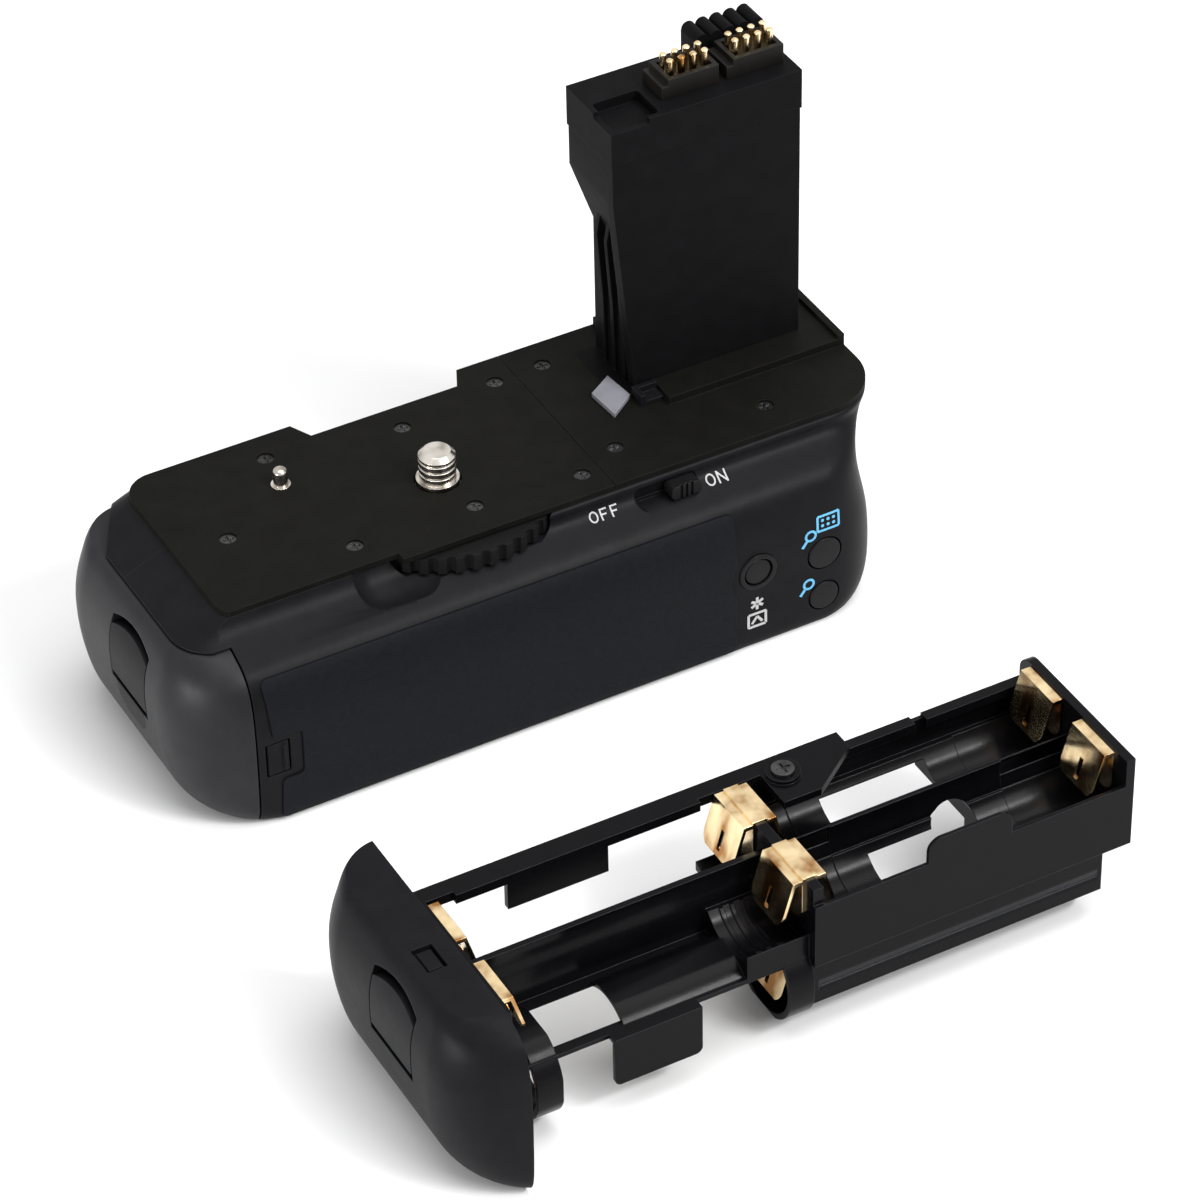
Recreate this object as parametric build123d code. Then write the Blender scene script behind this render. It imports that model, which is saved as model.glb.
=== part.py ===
from build123d import *
import math
import os

# Camera battery grip with its battery tray in place and a second tray, for AA cells, beside it.
# X runs along the grip, -Y is the rear face with the buttons, +Z is up.
# The origin is on the camera screw's axis, in the plane of the underside.

# Batteries that the trays are made for
cell_diameter = 14.5
pack_length = 53.0
pack_width = 36.0

# Outer form of the grip
body_height = 38.0
left_reach = 59.2
right_reach = 78.3
rear_reach = 25.2
front_reach = 29.0
left_inset = 12.3
right_inset = 8.0
rear_inset = 10.7
front_inset = 7.5
corner_radius = 12.0

# One row for each level of the outer form, as shares:
# height, then how much of the rear, front, left and right inset applies there, then the left corner radius
form_shares = [
    (0.0, 0.11, 1.0, 0.78, 0.89, 0.75),
    (0.034, 0.02, 0.667, 0.50, 0.80, 0.88),
    (0.12, 0.0, 0.333, 0.24, 0.625, 1.0),
    (0.29, 0.0, 0.08, 0.065, 0.55, 1.05),
    (0.53, 0.0, 0.0, 0.0, 0.64, 1.05),
    (0.72, 0.065, 0.107, 0.05, 0.79, 1.0),
    (0.815, 0.21, 0.213, 0.15, 0.725, 0.9),
    (0.895, 0.59, 0.32, 0.33, 0.375, 0.7),
    (0.955, 0.78, 0.4, 0.70, 0.09, 0.52),
    (1.0, 0.82, 0.453, 1.0, 0.0, 0.45),
]
# The neck is cut further in left of the step in its rear edge, again as height and rear inset
left_neck_shares = [(0.78, 0.0), (0.84, 0.25), (0.895, 0.67), (0.955, 0.93), (1.0, 1.0)]
neck_step_x = -14.8
right_corner_share = 0.9

# Housing walls, seams and the tray bay
plate_thickness = 1.1
seam_reach = 47.0
cover_gap = 0.35
shell_split_y = 7.6
tongue_reach = 55.3
tongue_underside = 33.3
tongue_rear_half = 14.0
tongue_rear_corner = 7.5
tongue_front_half = 13.5
tongue_front_corner = 14.5
floor_wall = 1.8
roof_wall = 0.9
tray_clearance = 0.3
tray_height = 30.0
tray_wall = 0.8
bay_length = 114.2
bay_middle_y = 0.3
bay_chamfer_across = 3.1
bay_chamfer_down = 4.4
overrun = 3.0

# Lock wheel and camera screw
wheel_radius = 20.2
wheel_gap = 0.3
wheel_teeth = 42
scoop_radius = 6.6
scoop_y = -19.3
scoop_z = 38.6
scoop_left_x = -19.5
scoop_right_x = -13.0
tooth_radius = 0.8
screw_diameter = 6.35
screw_standing = 6.0
shank_radius = 3.7
shank_standing = 0.6
screw_hole_clearance = 0.35
screw_flange_radius = 6.0
screw_flange_height = 1.0
screw_chamfer = 0.8
thread_pitch = 1.27
thread_depth = 0.7
thread_grooves = 3
hub_shaft_clearance = 0.03
washer_radius = 5.2
washer_thickness = 0.5

# Locating pin
locating_x = -23.5
locating_y = 11.7
locating_radius = 1.25
locating_standing = 3.5
locating_base_radius = 1.7
locating_base_standing = 0.3

# Top plates and their screws
plate_split_x = 24.9
plate_seam = 0.12
notch_face_y = 21.4
notch_left_x = -13.0
notch_right_x = 14.9
notch_flare = 5.0
notch_depth = 8.5
plate_screw_radius = 1.5
plate_screw_height = 0.5
plate_screw_sink = 0.35
slot_width = 0.5
left_screw_places = [(-22.5, 19.7), (-37.4, 3.2), (-20.1, -9.0), (21.5, -11.0),
                     (2.0, -9.5), (1.4, 15.8), (21.0, 19.3)]
right_screw_places = [(29.9, -7.2), (57.7, -9.7), (30.4, 19.6)]
deck_height = 1.5
deck_left_x = 43.7
deck_near_y = -1.5
rim_width = 1.3
rim_height = 0.8
board_pocket_left_x = 27.0
board_pocket_in = 4.3
board_pocket_rear_y = -11.0
board_pocket_front_y = 22.5
board_thickness = 1.2
board_margin = 0.8

# Battery-shaped post
post_left_x = 36.8
post_width = 35.9
post_rear_y = 4.6
post_depth = 15.2
post_top = 92.75
cap_height = 7.5
cap_proud = 0.2
post_fit = 0.05
foot_flange = 1.0
taper_top = 77.4
taper_bottom = 65.0
taper_in = 4.3
near_taper_in = 3.7
rib_thickness = 1.0
rib_pitch = 3.4
rib_first_y = 8.2
rib_recess_y = 7.0
rib_show = 1.9
cap_recess_width = 9.6
cap_recess_depth = 8.6
cap_recess_down = 2.0
cap_recess_corner = 2.4
cap_lip = 0.9
block_rear_y = 8.0
block_depth = 6.6
block_height = 3.6
left_block_x = 48.2
right_block_x = 60.6
block_length = 10.8
block_step = 1.2
block_slot = 0.8
pin_rows = 2
pin_columns = 4
pin_row_pitch = 2.3
pin_column_pitch = 2.2
pin_radius = 0.62
pin_standing = 2.4
stop_length = 13.2
stop_depth = 4.9
stop_height = 4.6
stop_ribs = 5
stop_overhang = 1.0
stop_rib_share = 0.96
base_pad_thickness = 0.8
base_pad_points = [(33.3, 7.1), (33.8, -0.1), (38.8, 3.5), (38.1, 10.2)]
catch_x = 39.2
catch_length = 4.4
catch_y = 0.3
catch_width = 3.4
catch_height = 2.2
catch_wall = 0.9

# Power switch in the rear neck
switch_left_x = 28.0
switch_length = 12.0
switch_low_z = 32.6
switch_height = 3.2
switch_depth_y = -16.2
knob_length = 5.6
knob_reach_y = -19.4
knob_ridges = 3
ridge_width = 0.5
ridge_depth = 0.4
switch_body_depth = 2.9
switch_clearance = 0.3
switch_corner = 1.5

# Rear buttons: place along X, height, radius and whether a ring stands round it
exposure_place = (47.3, 16.6)
focus_place = (60.5, 15.4)
lock_place = (60.5, 6.2)
exposure_radius = 2.5
focus_radius = 3.1
lock_radius = 2.8
button_gap = 0.3
button_stand = 0.15
button_depth = 3.3
button_flange = 0.6
button_flange_height = 0.8
button_dish = 0.25
button_board_y = -19.8
button_board_thickness = 1.0
ring_width = 0.8
ring_stand = 0.35
ring_depth = 1.6

# Shutter button and dial at the right end
end_face_in = 5.0
shutter_y = 14.0
shutter_z = 20.0
shutter_radius = 4.6
shutter_depth = 3.6
shutter_stand = 0.6
shutter_travel = 0.9
dial_in = 11.5
dial_y = 24.0
dial_z = 19.5
dial_radius = 5.5
dial_height = 4.6
dial_teeth = 20
dial_tooth_radius = 0.42
dial_pocket_gap = 0.4
dial_axle_radius = 1.0
dial_axle_seat = 0.9
running_clearance = 0.04

# Rubber on the rear and the front
pad_proud = 0.35
pad_sink = 0.65
pad_left_x = -45.2
pad_right_x = 43.0
pad_top_z = 29.6
pad_low_z = 0.9
pad_lean = 0.9
pad_corner = 1.0
pad_button_radius = 5.3
pad_notch_right_x = -39.0
pad_notch_top_z = 18.4
pad_notch_low_z = 9.2
pad_notch_left_x = -43.0
front_pad_left_x = 22.0
front_pad_right_x = 66.0
front_pad_top_z = 31.0
front_pad_low_z = 4.0
front_pad_corner = 4.0

# Cord cover flap
flap_left_x = -45.4
flap_width = 3.8
flap_low_z = 10.8
flap_height = 6.2
flap_thickness = 1.2
flap_gap = 0.35
flap_pivot_in = 0.6
flap_recess_depth = 2.1
flap_pin_radius = 0.35
flap_lip = 0.5
flap_round = 0.4

# Tripod socket
tripod_y = 12.9
tripod_bush_radius = 4.4
tripod_boss_radius = 5.0
tripod_bush_height = 6.2
tripod_boss_height = 6.9

# End cover latch
latch_y = -1.5
latch_pivot_z = 17.6
latch_width = 13.4
latch_rise = 11.2
latch_bow = 1.6
latch_gap = 0.3
lever_thickness = 1.3
knuckle_radius = 0.7
latch_pin_radius = 0.4
latch_pin_seat = 1.2
slot_rise = 1.3
slot_extra_depth = 1.3
lobe_width = 11.0
lobe_drop = 6.4
cover_hollow_x = -54.2
cover_hollow_y = (-14.5, 15.0)
cover_hollow_z = (4.5, 20.6)
bolt_x = -52.0
bolt_length = 3.0
bolt_width = 5.0
bolt_height = 7.1
bolt_travel = 2.0
bolt_tip_below = 1.75

# Inner tray for two packs
inner_deck_z = 9.0
inner_deck_thickness = 1.2
inner_wall_top = 26.0
inner_end_top = 29.0
inner_end_wall = 1.4
inner_front_wall = 1.9
inner_window_margin = 6.0
inner_window_low = 4.2
finger_notch_radius = 9.0
blade_thickness = 0.5
blade_height = 7.0
blade_length = 2.2
blade_pitch = 4.5
blade_count = 3

# Contact block at the end of the bay
bay_block_depth = 1.6
bay_block_width = 15.0
bay_block_height = 14.0
bay_block_low_z = 12.0
bay_pin_radius = 1.1
bay_pin_stand = 0.9
bay_pin_pitch = 4.0
bay_pin_count = 4

# Tray for six AA cells, in the same frame as the bay; it is then set down beside the grip
aa_shift_x = -1.0
aa_shift_y = -97.2
aa_rear_y = -15.4
aa_front_y = 15.9
aa_end_x = 66.2
aa_end_wall = 1.6
aa_left_wall = 2.0
aa_deck_thickness = 0.8
aa_cell_clearance = 0.15
aa_rail_top = 30.0
aa_rail_width = 4.0
aa_rail_thickness = 1.8
aa_divider_top = 26.8
aa_divider_thickness = 1.4
aa_middle_wall_x = 7.6
aa_middle_wall = 1.8
aa_middle_top = 30.0
aa_near_step_y = -13.6
aa_near_deck_z = 15.6
aa_right_wall_top = 26.6
aa_right_wall_step = 4.0
aa_right_wall_step_x = 47.6
aa_wall = 0.7
aa_tab_thickness = 1.2
aa_far_tab_x = -31.6
aa_far_tab_length = 17.8
aa_far_tab_drop = 7.0
aa_near_tab_x = -28.0
aa_near_tab_length = 15.5
aa_near_tab_drop = 9.5
aa_finger_x = 28.0
aa_finger_length = 15.4
aa_finger_top = 31.4
aa_hump_x = -25.0
aa_hump_length = 22.0
aa_hump_wall = 0.7
aa_ledge_z = 14.4
aa_ledge_in = 0.7
aa_box_left_x = 7.6
aa_box_right_x = 61.4
aa_lower_wall = 1.2
aa_box_end_wall = 0.8
aa_box_chamfer = 4.0
aa_box_end_chamfer = 1.8
aa_window_left_x = 25.3
aa_window_right_x = 45.0
aa_window_top_z = 19.8
aa_window_near_y = -8.3
aa_arch_x = 41.0
aa_arch_z = 18.9
aa_arch_radius = 4.0
aa_relief = 0.25
aa_ring_x = -41.5
aa_ring_length = 4.5
aa_ring_wall = 1.0
aa_bridge_x = 3.0
aa_bridge_length = 27.0
aa_bridge_drop = 1.4
aa_bridge_wedge = 4.0
aa_bridge_wedge_length = 9.0
aa_slot_x = 43.6
aa_slot_length = 2.2
aa_slot_down = 3.6
aa_far_wall_dip = 2.6
aa_plate_corner = 3.0
aa_screw_x = 17.5
aa_screw_radius = 1.9
aa_screw_height = 0.5
aa_boss_radius = 2.9
aa_boss_height = 0.7
aa_rib_count = 3
aa_rib_pitch = 1.9
aa_rib_thickness = 0.8
aa_rib_x = -1.6
aa_rib_height = 0.3
aa_saddle_length = 6.0
aa_saddle_rise = 2.6
contact_thickness = 0.4
contact_width = 9.4
contact_fold = 1.6
contact_leaf_out = 4.0
contact_leaf_drop = 8.6
contact_base_drop = 8.6
contact_corner = 2.6
contact_slot_width = 0.9
contact_slot_low = 1.4
contact_slot_high = 5.0
lower_contact_width = 9.0
terminal_size = 5.0
terminal_thickness = 0.3
terminal_pitch = 9.0

# Places worked out from the sizes above
form_height = body_height - plate_thickness
board_pocket_right_x = right_reach - board_pocket_in
end_face_x = right_reach - end_face_in
dial_x = right_reach - dial_in
seam_x = -seam_reach
cover_face_x = seam_x - cover_gap
bay_end_x = seam_x + bay_length
bay_low_z = floor_wall
tray_low_z = bay_low_z + tray_clearance
tray_top_z = tray_low_z + tray_height
bay_top_z = tray_top_z + tray_clearance
inner_tray_width = pack_width + 2 * tray_wall + cover_gap
bay_rear_y = bay_middle_y - inner_tray_width / 2 - tray_clearance
bay_front_y = bay_middle_y + inner_tray_width / 2 + tray_clearance
pocket_low_z = bay_top_z + roof_wall
pocket_top_z = form_height
wheel_low_z = pocket_low_z + wheel_gap
wheel_top_z = pocket_top_z - wheel_gap
wheel_pocket_radius = wheel_radius + 2 * wheel_gap
screw_radius = screw_diameter / 2
deck_top_z = body_height + deck_height
post_right_x = post_left_x + post_width
post_front_y = post_rear_y + post_depth
cap_low_z = post_top - cap_height
rear_face_y = -rear_reach
cell_radius = cell_diameter / 2
channel_radius = cell_radius + aa_cell_clearance
upper_cell_z = tray_top_z - cell_radius
lower_cell_z = tray_low_z + aa_cell_clearance + channel_radius
near_cell_y = aa_rear_y + aa_wall + channel_radius
far_cell_y = aa_front_y - aa_wall - channel_radius
aa_deck_z = upper_cell_z - channel_radius - aa_deck_thickness
aa_deck_top = aa_deck_z + aa_deck_thickness
aa_near_deck_low = aa_near_deck_z - aa_deck_thickness
aa_divider_y = (near_cell_y + far_cell_y) / 2
aa_middle_end_x = aa_middle_wall_x + aa_middle_wall
aa_inner_x = cover_face_x + aa_left_wall
aa_right_inner_x = aa_end_x - aa_end_wall


# Basic solids

def block(x, y, z):
    """A box between the two values given for each axis."""
    size = Box(x[1] - x[0], y[1] - y[0], z[1] - z[0], align=(Align.MIN, Align.MIN, Align.MIN))
    return Pos(x[0], y[0], z[0]) * size


def upright(radius, length):
    """A cylinder that stands on the XY plane."""
    return Cylinder(radius, length, align=(Align.CENTER, Align.CENTER, Align.MIN))


def rod_x(y, z, radius, x):
    return Pos(x[0], y, z) * Rot(0, 90, 0) * upright(radius, x[1] - x[0])


def rod_y(x, z, radius, y):
    return Pos(x, y[0], z) * Rot(-90, 0, 0) * upright(radius, y[1] - y[0])


def rod_z(x, y, radius, z):
    return Pos(x, y, z[0]) * upright(radius, z[1] - z[0])


def outline(points, corner=0):
    """A flat face from its corner points, each corner rounded alike."""
    if corner:
        return make_face(FilletPolyline(*points, radius=corner, close=True))
    return make_face(Polyline(*points, close=True))


def prism_x(points, x, corner=0):
    face = Plane.YZ.offset(x[0]) * outline(points, corner)
    return extrude(face, amount=x[1] - x[0], dir=(1, 0, 0))


def prism_y(points, y, corner=0):
    face = Plane.XZ.offset(-y[0]) * outline(points, corner)
    return extrude(face, amount=y[1] - y[0], dir=(0, 1, 0))


def prism_z(points, z, corner=0):
    face = Plane.XY.offset(z[0]) * outline(points, corner)
    return extrude(face, amount=z[1] - z[0], dir=(0, 0, 1))


def rectangle(a, b):
    """The four corners of a rectangle between two values each way."""
    return [(a[0], b[0]), (a[1], b[0]), (a[1], b[1]), (a[0], b[1])]


def group(shapes):
    """Several separate solids kept as one node."""
    return Compound(children=[solid for shape in shapes for solid in shape.solids()])


# Outer form of the grip, shared by the shells, the covers and the rubber

def form_section(shares, rear_growth, front_growth):
    """One level of the outer form: a rectangle with a round corner at each end of each side."""
    height, rear, front, left, right, round_left = shares
    x0 = -left_reach + left_inset * left
    x1 = right_reach - right_inset * right
    y0 = -rear_reach + rear_inset * rear - rear_growth
    y1 = front_reach - front_inset * front + front_growth
    a = corner_radius * round_left
    b = corner_radius * right_corner_share
    edges = [
        Line((x0 + a, y0), (x1 - b, y0)),
        RadiusArc((x1 - b, y0), (x1, y0 + b), -b),
        Line((x1, y0 + b), (x1, y1 - b)),
        RadiusArc((x1, y1 - b), (x1 - b, y1), -b),
        Line((x1 - b, y1), (x0 + a, y1)),
        RadiusArc((x0 + a, y1), (x0, y1 - a), -a),
        Line((x0, y1 - a), (x0, y0 + a)),
        RadiusArc((x0, y0 + a), (x0 + a, y0), -a),
    ]
    return Pos(0, 0, height * form_height) * make_face(edges)


def wide(x, z):
    """A box across the full depth of the grip."""
    return block(x, (-rear_reach - overrun, front_reach + overrun), z)


def left_neck_cut():
    """Room behind the neck's rear edge, left of the step."""
    curve = [(-rear_reach + rear_inset * inset, form_height * height) for height, inset in left_neck_shares]
    outside = -rear_reach - overrun
    top = curve[-1][1]
    edges = [Spline(*curve), Line(curve[-1], (outside, top)), Line((outside, top), (outside, curve[0][1])),
             Line((outside, curve[0][1]), curve[0])]
    x0 = -left_reach - overrun
    face = Plane.YZ.offset(x0) * make_face(edges)
    return extrude(face, amount=neck_step_x - x0, dir=(1, 0, 0))


def housing_form(rear_growth=0, front_growth=0):
    sections = [form_section(shares, rear_growth, front_growth) for shares in form_shares]
    return loft(sections) - left_neck_cut()


def tongue_zone(gap):
    """The part of the housing that reaches left over the end cover's shelf."""
    reach = tongue_reach + gap
    rear = -tongue_rear_half - gap
    front = tongue_front_half + gap
    seam = -seam_reach - gap
    points = [(-reach, rear), (seam, rear - tongue_rear_corner), (0, rear - tongue_rear_corner),
              (0, front + tongue_front_corner), (seam, front + tongue_front_corner), (-reach, front)]
    return prism_z(points, (tongue_underside - gap, body_height))


def bay():
    """The hollow that takes either tray, open at the left end."""
    points = [(bay_rear_y, bay_low_z), (bay_front_y, bay_low_z), (bay_front_y, bay_top_z),
              (bay_rear_y + bay_chamfer_across, bay_top_z), (bay_rear_y, bay_top_z - bay_chamfer_down)]
    return prism_x(points, (seam_x - overrun, bay_end_x))


def thumb_notch(z):
    """Dip in the front edge where the lock wheel can be turned."""
    far = front_reach + overrun
    points = [(notch_left_x, notch_face_y), (notch_right_x, notch_face_y),
              (notch_right_x + notch_flare, far), (notch_left_x - notch_flare, far)]
    return prism_z(points, z)


def wheel_scoop():
    """Hollow in the neck beside the wheel, where a thumb reaches it."""
    scoop = rod_x(scoop_y, scoop_z, scoop_radius, (scoop_left_x, scoop_right_x))
    for x in (scoop_left_x, scoop_right_x):
        scoop += Pos(x, scoop_y, scoop_z) * Sphere(scoop_radius)
    return scoop


# Housing shells

def button_well(place, radius):
    x, z = place
    back = button_board_y - button_board_thickness
    stem = rod_y(x, z, radius + button_gap, (-rear_reach - overrun, back))
    seat = rod_y(x, z, radius + button_flange + button_gap,
                 (rear_face_y + button_depth - button_flange_height - button_gap, back))
    return stem + seat


def button_board_zone(margin):
    x, z = exposure_place
    return block((x - exposure_radius - 2 * margin, focus_place[0] + focus_radius + 2 * margin),
                 (button_board_y - button_board_thickness, button_board_y),
                 (lock_place[1] - lock_radius - margin, z + exposure_radius + margin))


def rear_controls():
    """Everything cut into the rear face."""
    ring_outer = exposure_radius + button_gap + ring_width
    cuts = button_well(exposure_place, exposure_radius)
    cuts += button_well(focus_place, focus_radius)
    cuts += button_well(lock_place, lock_radius)
    cuts += rod_y(*exposure_place, ring_outer, (-rear_reach - overrun, rear_face_y + ring_depth))
    cuts += button_board_zone(board_margin + button_gap)
    return cuts


def switch_recess():
    x = (switch_left_x, switch_left_x + switch_length)
    z = (switch_low_z, switch_low_z + switch_height)
    slot = prism_y(rectangle(x, z), (-rear_reach - overrun, switch_depth_y), switch_corner)
    body = block((x[0] + switch_clearance, x[1] - switch_clearance),
                 (switch_depth_y, board_pocket_rear_y + overrun), (pocket_low_z, z[1]))
    return slot + body


def flap_recess():
    left = flap_left_x - flap_gap
    return block((left, flap_left_x + flap_width + flap_gap),
                 (-rear_reach - overrun, rear_face_y + flap_recess_depth),
                 (flap_low_z - flap_gap, flap_low_z + flap_height + flap_gap))


def flap_pin_place():
    return flap_left_x + flap_pivot_in, rear_face_y + flap_pivot_in


def right_end_controls():
    """Wells for the shutter button and the dial, with the dial's axle holes."""
    face = right_reach + overrun
    seat_x = end_face_x - shutter_depth - shutter_travel - button_gap
    stem = rod_x(shutter_y, shutter_z, shutter_radius + button_gap, (seat_x, face))
    seat = rod_x(shutter_y, shutter_z, shutter_radius + button_flange + button_gap,
                 (seat_x, seat_x + button_flange_height + shutter_travel + 2 * button_gap))
    half = dial_height / 2
    well = rod_y(dial_x, dial_z, dial_radius + dial_pocket_gap,
                 (dial_y - half - dial_pocket_gap, dial_y + half + dial_pocket_gap))
    reach = half + dial_pocket_gap + dial_axle_seat
    axle = rod_y(dial_x, dial_z, dial_axle_radius, (dial_y - reach, dial_y + reach))
    return stem + seat + well + axle


def bay_block_zone():
    y = (bay_middle_y - bay_block_width / 2, bay_middle_y + bay_block_width / 2)
    z = (bay_block_low_z, bay_block_low_z + bay_block_height)
    return block((bay_end_x, bay_end_x + bay_block_depth), y, z)


def board_pocket():
    return block((board_pocket_left_x, board_pocket_right_x),
                 (board_pocket_rear_y, board_pocket_front_y), (pocket_low_z, form_height + overrun))


def rear_pad_outline():
    return [(pad_left_x, pad_top_z), (pad_left_x + pad_lean, pad_notch_top_z),
            (pad_notch_right_x, pad_notch_top_z), (pad_notch_right_x, pad_notch_low_z),
            (pad_notch_left_x, pad_notch_low_z), (pad_notch_left_x - pad_lean / 2, pad_low_z),
            (pad_right_x, pad_low_z), (pad_right_x, pad_top_z)]


def rear_pad_zone():
    """Room for the rear rubber, which keeps clear of the exposure button."""
    y = (-rear_reach - overrun, 0)
    return prism_y(rear_pad_outline(), y, pad_corner) - rod_y(*exposure_place, pad_button_radius, y)


def front_pad_zone():
    x = (front_pad_left_x, front_pad_right_x)
    z = (front_pad_low_z, front_pad_top_z)
    return prism_y(rectangle(x, z), (0, front_reach + overrun), front_pad_corner)


def housing():
    """Both shells in one, with every opening cut."""
    form = housing_form()
    inner = housing_form(-pad_sink, -pad_sink)
    right_of_seam = wide((seam_x, right_reach + overrun), (0, form_height))
    body = form & (right_of_seam + tongue_zone(0))
    body -= rear_pad_zone() - inner
    body -= front_pad_zone() - inner
    body -= bay()
    boss = rod_z(0, tripod_y, tripod_boss_radius, (0, tripod_boss_height))
    body += boss
    body -= rod_z(0, tripod_y, tripod_bush_radius, (0, tripod_bush_height))
    body -= rod_z(0, 0, wheel_pocket_radius, (pocket_low_z, pocket_top_z + overrun))
    body -= wheel_scoop()
    body -= thumb_notch((form_height - notch_depth, body_height))
    body -= board_pocket()
    body -= switch_recess()
    body -= rear_controls()
    body -= flap_recess()
    body -= flap_pin()
    body -= right_end_controls()
    body -= bay_block_zone()
    body -= rod_z(locating_x, locating_y, locating_base_radius, (form_height - plate_thickness, form_height))
    return body


def rear_half():
    return block((-left_reach - overrun, right_reach + overrun),
                 (-rear_reach - overrun, shell_split_y), (0 - overrun, body_height + overrun))


# Top plates

def top_outline(z):
    """A slab with the outline of the grip's top."""
    section = Pos(0, 0, z[0] - form_height) * form_section(form_shares[-1], 0, 0)
    slab = extrude(section, amount=z[1] - z[0], dir=(0, 0, 1))
    left = (-left_reach - overrun, neck_step_x)
    return slab - block(left, (-rear_reach - overrun, -rear_reach + rear_inset), z)


def top_slab():
    slab = top_outline((form_height, body_height))
    return slab - thumb_notch((form_height - overrun, body_height + overrun))


def screw_pockets(places):
    low = body_height - plate_screw_sink - plate_screw_height
    pockets = [rod_z(x, y, plate_screw_radius, (low, body_height + overrun)) for x, y in places]
    return pockets


def left_top_plate():
    plate = top_slab() & wide((-left_reach, plate_split_x - plate_seam / 2), (0, body_height))
    plate -= rod_z(0, 0, shank_radius + screw_hole_clearance, (0, body_height + overrun))
    plate -= rod_z(locating_x, locating_y, locating_base_radius, (0, body_height + overrun))
    for pocket in screw_pockets(left_screw_places):
        plate -= pocket
    return plate


def deck_points(edge):
    return rectangle((deck_left_x, right_reach + edge), (deck_near_y, front_reach + edge))


def right_top_plate():
    plate = top_slab() & wide((plate_split_x + plate_seam / 2, right_reach + overrun), (0, body_height))
    raised = top_outline((body_height, deck_top_z)) & prism_z(deck_points(overrun), (body_height, deck_top_z))
    rim_z = (deck_top_z, deck_top_z + rim_height)
    rim = top_outline(rim_z) & prism_z(deck_points(overrun), rim_z)
    inside = rectangle((0, post_right_x + foot_flange), (-rear_reach, front_reach))
    rim -= prism_z(inside, rim_z)
    flat = Pos(-rim_width, 0, 0) * (top_outline(rim_z) & prism_z(deck_points(overrun), rim_z))
    rim -= flat
    plate = plate + raised + rim
    plate -= block((post_left_x - post_fit, post_right_x + post_fit),
                   (post_rear_y - post_fit, post_front_y + post_fit), (0, deck_top_z + overrun))
    for pocket in screw_pockets(right_screw_places):
        plate -= pocket
    return plate


def plate_screws():
    """Cross-headed screws, sunk a little below the plates."""
    top = body_height - plate_screw_sink
    screws = []
    for x, y in left_screw_places + right_screw_places:
        head = rod_z(x, y, plate_screw_radius, (top - plate_screw_height, top))
        half = slot_width / 2
        arm = plate_screw_radius * 2 / 3
        slot_z = (top - plate_screw_height / 2, top + overrun)
        head -= block((x - arm, x + arm), (y - half, y + half), slot_z)
        head -= block((x - half, x + half), (y - arm, y + arm), slot_z)
        screws.append(head)
    return group(screws)


def locating_pin():
    top = body_height + locating_standing
    base_z = (form_height - plate_thickness, body_height + locating_base_standing)
    pin = rod_z(locating_x, locating_y, locating_radius, (base_z[0], top))
    pin = fillet(pin.edges().group_by(Axis.Z)[-1], locating_radius * 2 / 3)
    return pin + rod_z(locating_x, locating_y, locating_base_radius, base_z)


# Lock wheel and camera screw

def lock_wheel():
    wheel = rod_z(0, 0, wheel_radius, (wheel_low_z, wheel_top_z))
    tooth = rod_z(wheel_radius, 0, tooth_radius, (wheel_low_z - overrun, wheel_top_z + overrun))
    teeth = [Rot(0, 0, 360 * k / wheel_teeth) * tooth for k in range(wheel_teeth)]
    wheel -= teeth
    wheel -= rod_z(0, 0, shank_radius + hub_shaft_clearance, (0, body_height))
    wheel -= rod_z(0, 0, screw_flange_radius, (wheel_low_z - overrun, wheel_low_z + screw_flange_height))
    wheel -= rod_z(0, 0, washer_radius, (wheel_top_z - washer_thickness, wheel_top_z + overrun))
    return wheel


def camera_screw():
    top = body_height + screw_standing
    screw = rod_z(0, 0, screw_radius, (wheel_low_z, top))
    screw = chamfer(screw.edges().group_by(Axis.Z)[-1], screw_chamfer)
    screw += rod_z(0, 0, shank_radius, (wheel_low_z, body_height + shank_standing))
    screw += rod_z(0, 0, screw_flange_radius, (wheel_low_z, wheel_low_z + screw_flange_height))
    half = thread_pitch / 2
    for k in range(thread_grooves):
        z = top - screw_chamfer - half - k * thread_pitch
        groove = [(screw_radius + thread_depth, z - half), (screw_radius + thread_depth, z + half),
                  (screw_radius - thread_depth / 2, z)]
        ring = revolve(Plane.XZ * outline(groove), Axis.Z)
        screw -= ring
    return screw


def wheel_washer():
    """Thin ring, sunk in the wheel's upper face, that keeps the wheel on its screw."""
    z = (wheel_top_z - washer_thickness, wheel_top_z)
    return rod_z(0, 0, washer_radius, z) - rod_z(0, 0, shank_radius + hub_shaft_clearance, z)


# Post that fills the camera's battery chamber

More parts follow.
